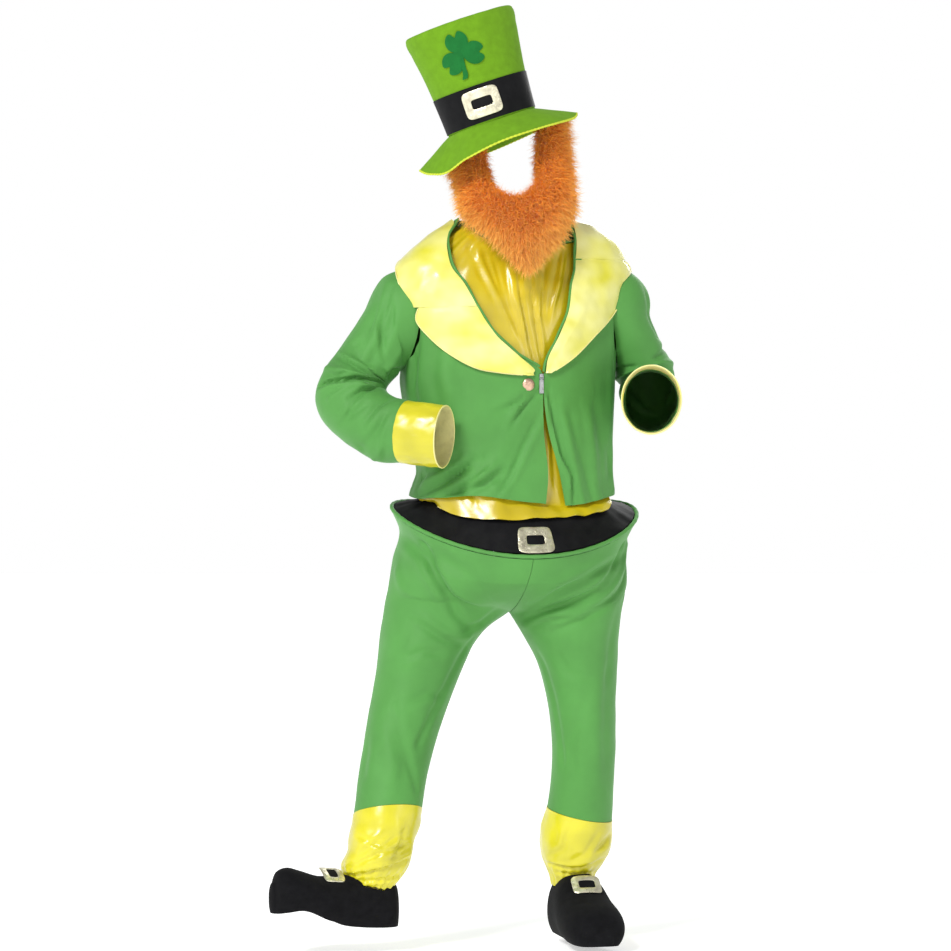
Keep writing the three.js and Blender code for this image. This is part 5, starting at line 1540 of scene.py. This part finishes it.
def build_shamrock():
    place = on_hat(*SHAMROCK_PLACE)

    def leaves(u, v):
        v = mix(0, LEAF_MIDDLE, v)
        direction = 2 * math.pi * u
        reach = shamrock_reach(direction) * (1 - v)
        return place(reach * np.cos(direction), reach * np.sin(direction), SHAMROCK_LIFT - 1.0 * (1 - v) ** 8)

    def stem(u, v):
        x, y, width = (along(STEM[column], v) for column in ("x", "y", "width"))
        return place(x + (u - 0.5) * width, y, np.full(np.broadcast(u, v).shape, SHAMROCK_LIFT))

    cloth("hat_shamrock", leaves, 240, 7, SHAMROCK_FELT, [shamrock_felt], closed=True, size=(90, 45),
          slot="dark_felt")
    cloth("hat_shamrock_stem", stem, 6, 24, SHAMROCK_FELT, [shamrock_felt], side=-1, size=(6, 52),
          slot="dark_felt", replaced=[])


build_shamrock()

# Beard

BEARD = table(TUBE, [
    (-124, 2, 1646, -58, -52, 1664, 22),
    (-119, 0, 1582, -60, -72, 1606, 27),
    (-97, -8, 1526, -59, -84, 1572, 30),
    (-92, -74, 1474, -46, -102, 1545, 28),
    (-38, -132, 1429, -28, -116, 1526, 27),
    (6, -152, 1386, -10, -122, 1516, 27),
    (33, -158, 1366, 6, -123, 1513, 27),
    (60, -152, 1396, 22, -122, 1516, 27),
    (92, -130, 1427, 40, -116, 1534, 27),
    (117, -74, 1484, 54, -104, 1556, 28),
    (110, -12, 1543, 58, -88, 1590, 30),
    (109, -4, 1606, 54, -76, 1630, 27),
    (106, 0, 1696, 47, -54, 1704, 22),
])
FUR_DEPTH = 13
STRANDS = 62000
STRAND_LENGTH = (14, 34)
STRAND_WIDTH = 1.25


def brim_gap(points):
    """How far points are under the brim or the crown, in the hat's own direction."""
    x, y, z = in_hat(points)
    angle = np.degrees(np.arctan2(x, -y))
    far = np.hypot(x / BRIM["half"], y / BRIM["deep"])
    near = BRIM["inner"] / BRIM["half"]
    reach = np.clip((far - near) / (1 - near), 0, 1.4)
    return -0.5 - FELT - brim_droop(angle, reach) - z


def beard_core(u, v):
    whole = ringed(BEARD)
    middle = (tube_end(BEARD, "o", v) + tube_end(BEARD, "i", v)) / 2
    points = whole(u, v)
    out = points - middle
    size = np.linalg.norm(out, axis=-1, keepdims=True)
    points = middle + out * (1 - FUR_DEPTH / np.maximum(size, FUR_DEPTH * 1.5))
    into = np.maximum(3 - brim_gap(points), 0)
    return points + into[..., None] * (hat_point(0, 0, -1) - hat_point(0, 0, 0))


def strands(chance):
    """Roots and three joints of every strand, each a row of three points."""
    u, v = chance.uniform(size=STRANDS), chance.uniform(0.0, 1.0, STRANDS)
    root = beard_core(u, v)
    middle = (tube_end(BEARD, "o", v) + tube_end(BEARD, "i", v)) / 2
    out = unit(root - middle)
    down = np.array([0, 0, -1.0])
    outer = tube_end(BEARD, "o", v) - tube_end(BEARD, "i", v)
    flow = unit(unit(outer) + down * 0.8)
    loose = chance.normal(size=(STRANDS, 3)) * 0.34
    start = unit(out * 0.9 + flow * 0.35 + loose)
    end = unit(out * 0.35 + flow * 0.9 + loose * 1.5 + chance.normal(size=(STRANDS, 3)) * 0.25)
    edge = (0.5 - 0.5 * np.cos(2 * math.pi * u)) ** 2
    length = (chance.uniform(*STRAND_LENGTH, STRANDS) * (1 + 0.3 * edge))[:, None]
    joints = [root - start * 2]
    for share in (0.25, 0.85):
        joints.append(joints[-1] + unit(start + (end - start) * share) * length / 2)
    joints = np.stack(joints, 1)
    clear = brim_gap(joints).min(axis=1) > 1.5
    return joints[clear], edge[clear]


def build_beard():
    points, faces = filled(beard_core, 40, 110)
    new_object("beard_root", points, faces, [fur_root], replaced=["beard"])
    chance = np.random.default_rng(11)
    joints, edge = strands(chance)
    count = len(joints)
    heading = unit(joints[:, 2] - joints[:, 0])
    side = unit(np.cross(heading, chance.normal(size=(count, 3))))
    widths = STRAND_WIDTH * chance.uniform(0.6, 1.2, count)[:, None, None]
    spread = side[:, None] * 0.45 * widths
    rows = np.concatenate([joints[:, :2] - spread, joints[:, :2] + spread, joints[:, 2:]], axis=1)
    base = np.arange(count)[:, None] * 5
    faces = (base + [0, 2, 3, 1]).tolist() + (base + [1, 3, 4]).tolist()
    along_strand = np.tile([0.0, 0.5, 0.0, 0.5, 1.0], count)
    paler = 0.62 * along_strand + np.repeat(0.5 * edge + chance.uniform(-0.14, 0.14, count), 5)
    place = np.repeat(chance.uniform(0, 1, count), 5)
    uv = 1000 * np.stack([place, np.clip(paler, 0, 1)], -1)
    new_object("beard_fur", rows.reshape(-1, 3), faces, [fur], uv=uv)


build_beard()

# Shoe covers. Each row is an upright ring across the foot: its middle, half-width, bottom and top

SHOE = "x y half low high"
RIGHT_SHOE = table(SHOE, [
    (-235, -108, 22, 54, 134), (-247, -113, 36, 52, 148), (-278, -125, 43, 52, 158),
    (-316, -140, 45, 55, 158), (-352, -154, 49, 62, 157), (-386, -168, 52, 80, 157),
    (-420, -181, 51, 93, 168), (-446, -191, 45, 90, 176), (-466, -198, 33, 87, 169),
    (-475, -201, 18, 94, 148),
])
LEFT_SHOE = table(SHOE, [
    (105, 92, 22, 20, 112), (108, 82, 36, 18, 126), (116, 54, 43, 18, 140), (127, 16, 48, 18, 150),
    (139, -22, 55, 18, 145), (150, -60, 61, 18, 117), (160, -98, 63, 17, 101), (168, -132, 59, 16, 90),
    (174, -156, 46, 16, 74), (176, -166, 27, 20, 56),
])
SHOE_HEADING = {"right": (-0.94, -0.34, 0), "left": (0.26, -0.966, 0)}
CAP = 0.05
CAP_REACH = {"heel": 4, "toe": 7}
SHOE_WAVES = 0.8
ANKLE_DEPTH = 8
ANKLE_GAP = {"right": 2.5, "left": 3.2}
SHOE_BUCKLE = (60, 44, 34, 19)
BUCKLE_BOW = 90
SHOE_BUCKLES = {
    "right": ((-359, -163, 164), (0.3, -0.88, -0.36), (0.93, 0.32, -0.1), -1.3),
    "left": ((151, -57, 131), (0.93, 0.25, 0), (-0.2, 0.7, 0.72), -2.3),
}


def shoe_body(rows, heading, inset):
    """The shoe cover's form. v runs past 0 and 1 into the round ends of the heel and toe."""
    heading = np.array(heading, float)
    beside = np.array([-heading[1], heading[0], 0])

    def point(u, v):
        u, v = np.broadcast_arrays(u, v)
        a = 2 * math.pi * u
        inside = np.clip(v, 0, 1)
        over = (np.maximum(v - 1, 0) - np.maximum(-v, 0)) / CAP
        scale = np.sqrt(np.maximum(1 - over * over, 0.0009))
        low = along(rows["low"], inside)
        high = along(rows["high"], inside) - inset
        middle = mix(low, high, 0.42)
        across = (along(rows["half"], inside) - inset) * np.sign(np.cos(a)) * np.abs(np.cos(a)) ** 0.8 * scale
        up = np.where(np.sin(a) > 0, (high - middle) * np.sin(a), (middle - low + 14) * np.sin(a)) * scale
        shift = inset * mix(1, -1, inside) + over * np.where(over > 0, CAP_REACH["toe"], CAP_REACH["heel"])
        spot = points_from(along(rows["x"], inside), along(rows["y"], inside), middle + up)
        return spot + beside * across[..., None] + heading * shift[..., None]

    return point


def under_shoe(rows, heading):
    heading = np.array(heading, float)
    beside = np.array([-heading[1], heading[0], 0])

    def point(u, v):
        u, v = np.broadcast_arrays(u, v)
        a = 2 * math.pi * u
        up = np.where(np.sin(a) > 0, 7 * np.maximum(np.sin(a), 0) ** 0.3 - 10, -50)
        spot = points_from(along(rows["x"], v), along(rows["y"], v), along(rows["low"], v) + up + 3)
        return spot + beside * (90 * np.cos(a))[..., None] + heading * mix(-16, 16, v)[..., None]

    return point


def ankle_hole(leg, gap):
    cuff = raised(stretch(leg, LEG_HEM + 0.2, 1), level(gap))

    def point(u, v):
        return cuff(u, np.minimum(v / 0.8, 1)) - [0, 0, ANKLE_DEPTH] * np.clip(v / 0.2 - 4, 0, 1)[..., None]

    return point


def bowed(middle, across, upward):
    side = unit(np.array(across, float))
    out = unit(np.cross(side, upward))
    up = np.cross(out, side)

    def place(x, y, lift):
        x, y, lift = (np.asarray(value, float)[..., None] for value in (x, y, lift))
        return np.array(middle, float) + side * x + up * y + out * (lift - x * x / (2 * BUCKLE_BOW))

    return place


def build_shoe(name, rows, leg):
    heading = SHOE_HEADING[name]

    def inside(u, v):
        return shoe_body(rows, heading, FELT)(u, mix(-CAP, 1 + CAP, v))

    def outside(u, v):
        points = shoe_body(rows, heading, 0)(u, mix(-CAP, 1 + CAP, v))
        return points + SHOE_WAVES * ripples(points, 60, 91)[..., None] * [0, 0, 1]

    points, faces = filled(outside, 90, 84)
    cover = new_object("shoe_cover_" + name + "_cloth", points, faces, [velour],
                       replaced=["shoe_cover_" + name])
    tools = [
        tool("hollow", *filled(inside, 60, 60)),
        tool("under", *filled(under_shoe(rows, heading), 40, 40)),
        tool("ankle", *filled(ankle_hole(leg, ANKLE_GAP[name]), 72, 12)),
    ]
    subtract(cover, tools)
    remove(tools)
    middle, across, upward, lift = SHOE_BUCKLES[name]
    on_instep = bowed(middle, across, upward)
    plate("shoe_buckle_" + name, on_instep, *SHOE_BUCKLE, lift)
    wide, tall = SHOE_BUCKLE[2] + 3, SHOE_BUCKLE[3] + 3

    def backing(u, v):
        return on_instep((u - 0.5) * wide, (v - 0.5) * tall, np.full(np.broadcast(u, v).shape, lift + 0.9))

    cloth("shoe_buckle_backing_" + name, backing, 24, 14, 0.8, [velour], size=(wide, tall), slot="velour",
          replaced=[])


for name, rows, leg in (("right", RIGHT_SHOE, RIGHT_LEG), ("left", LEFT_SHOE, LEFT_LEG)):
    build_shoe(name, rows, leg)

# The zip's slider and pull tab keep their CAD solids

for name in ("zip_slider", "zip_pull_tab"):
    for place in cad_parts[name].material_slots:
        place.material = steel


def add_floor():
    mesh = bpy.data.meshes.new("floor")
    corners = [(x * FLOOR_REACH, y * FLOOR_REACH, 0) for x, y in ((-1, -1), (1, -1), (1, 1), (-1, 1))]
    mesh.from_pydata(metres(corners).tolist(), [], [(0, 1, 2, 3)])
    white = Finish("floor", FLOOR_SHADE, 0.9)
    white.shader.inputs["Emission Color"].default_value = (1, 1, 1, 1)
    white.shader.inputs["Emission Strength"].default_value = FLOOR_GLOW
    mesh.materials.append(white.material)
    floor = bpy.data.objects.new("floor", mesh)
    bpy.context.collection.objects.link(floor)


add_floor()

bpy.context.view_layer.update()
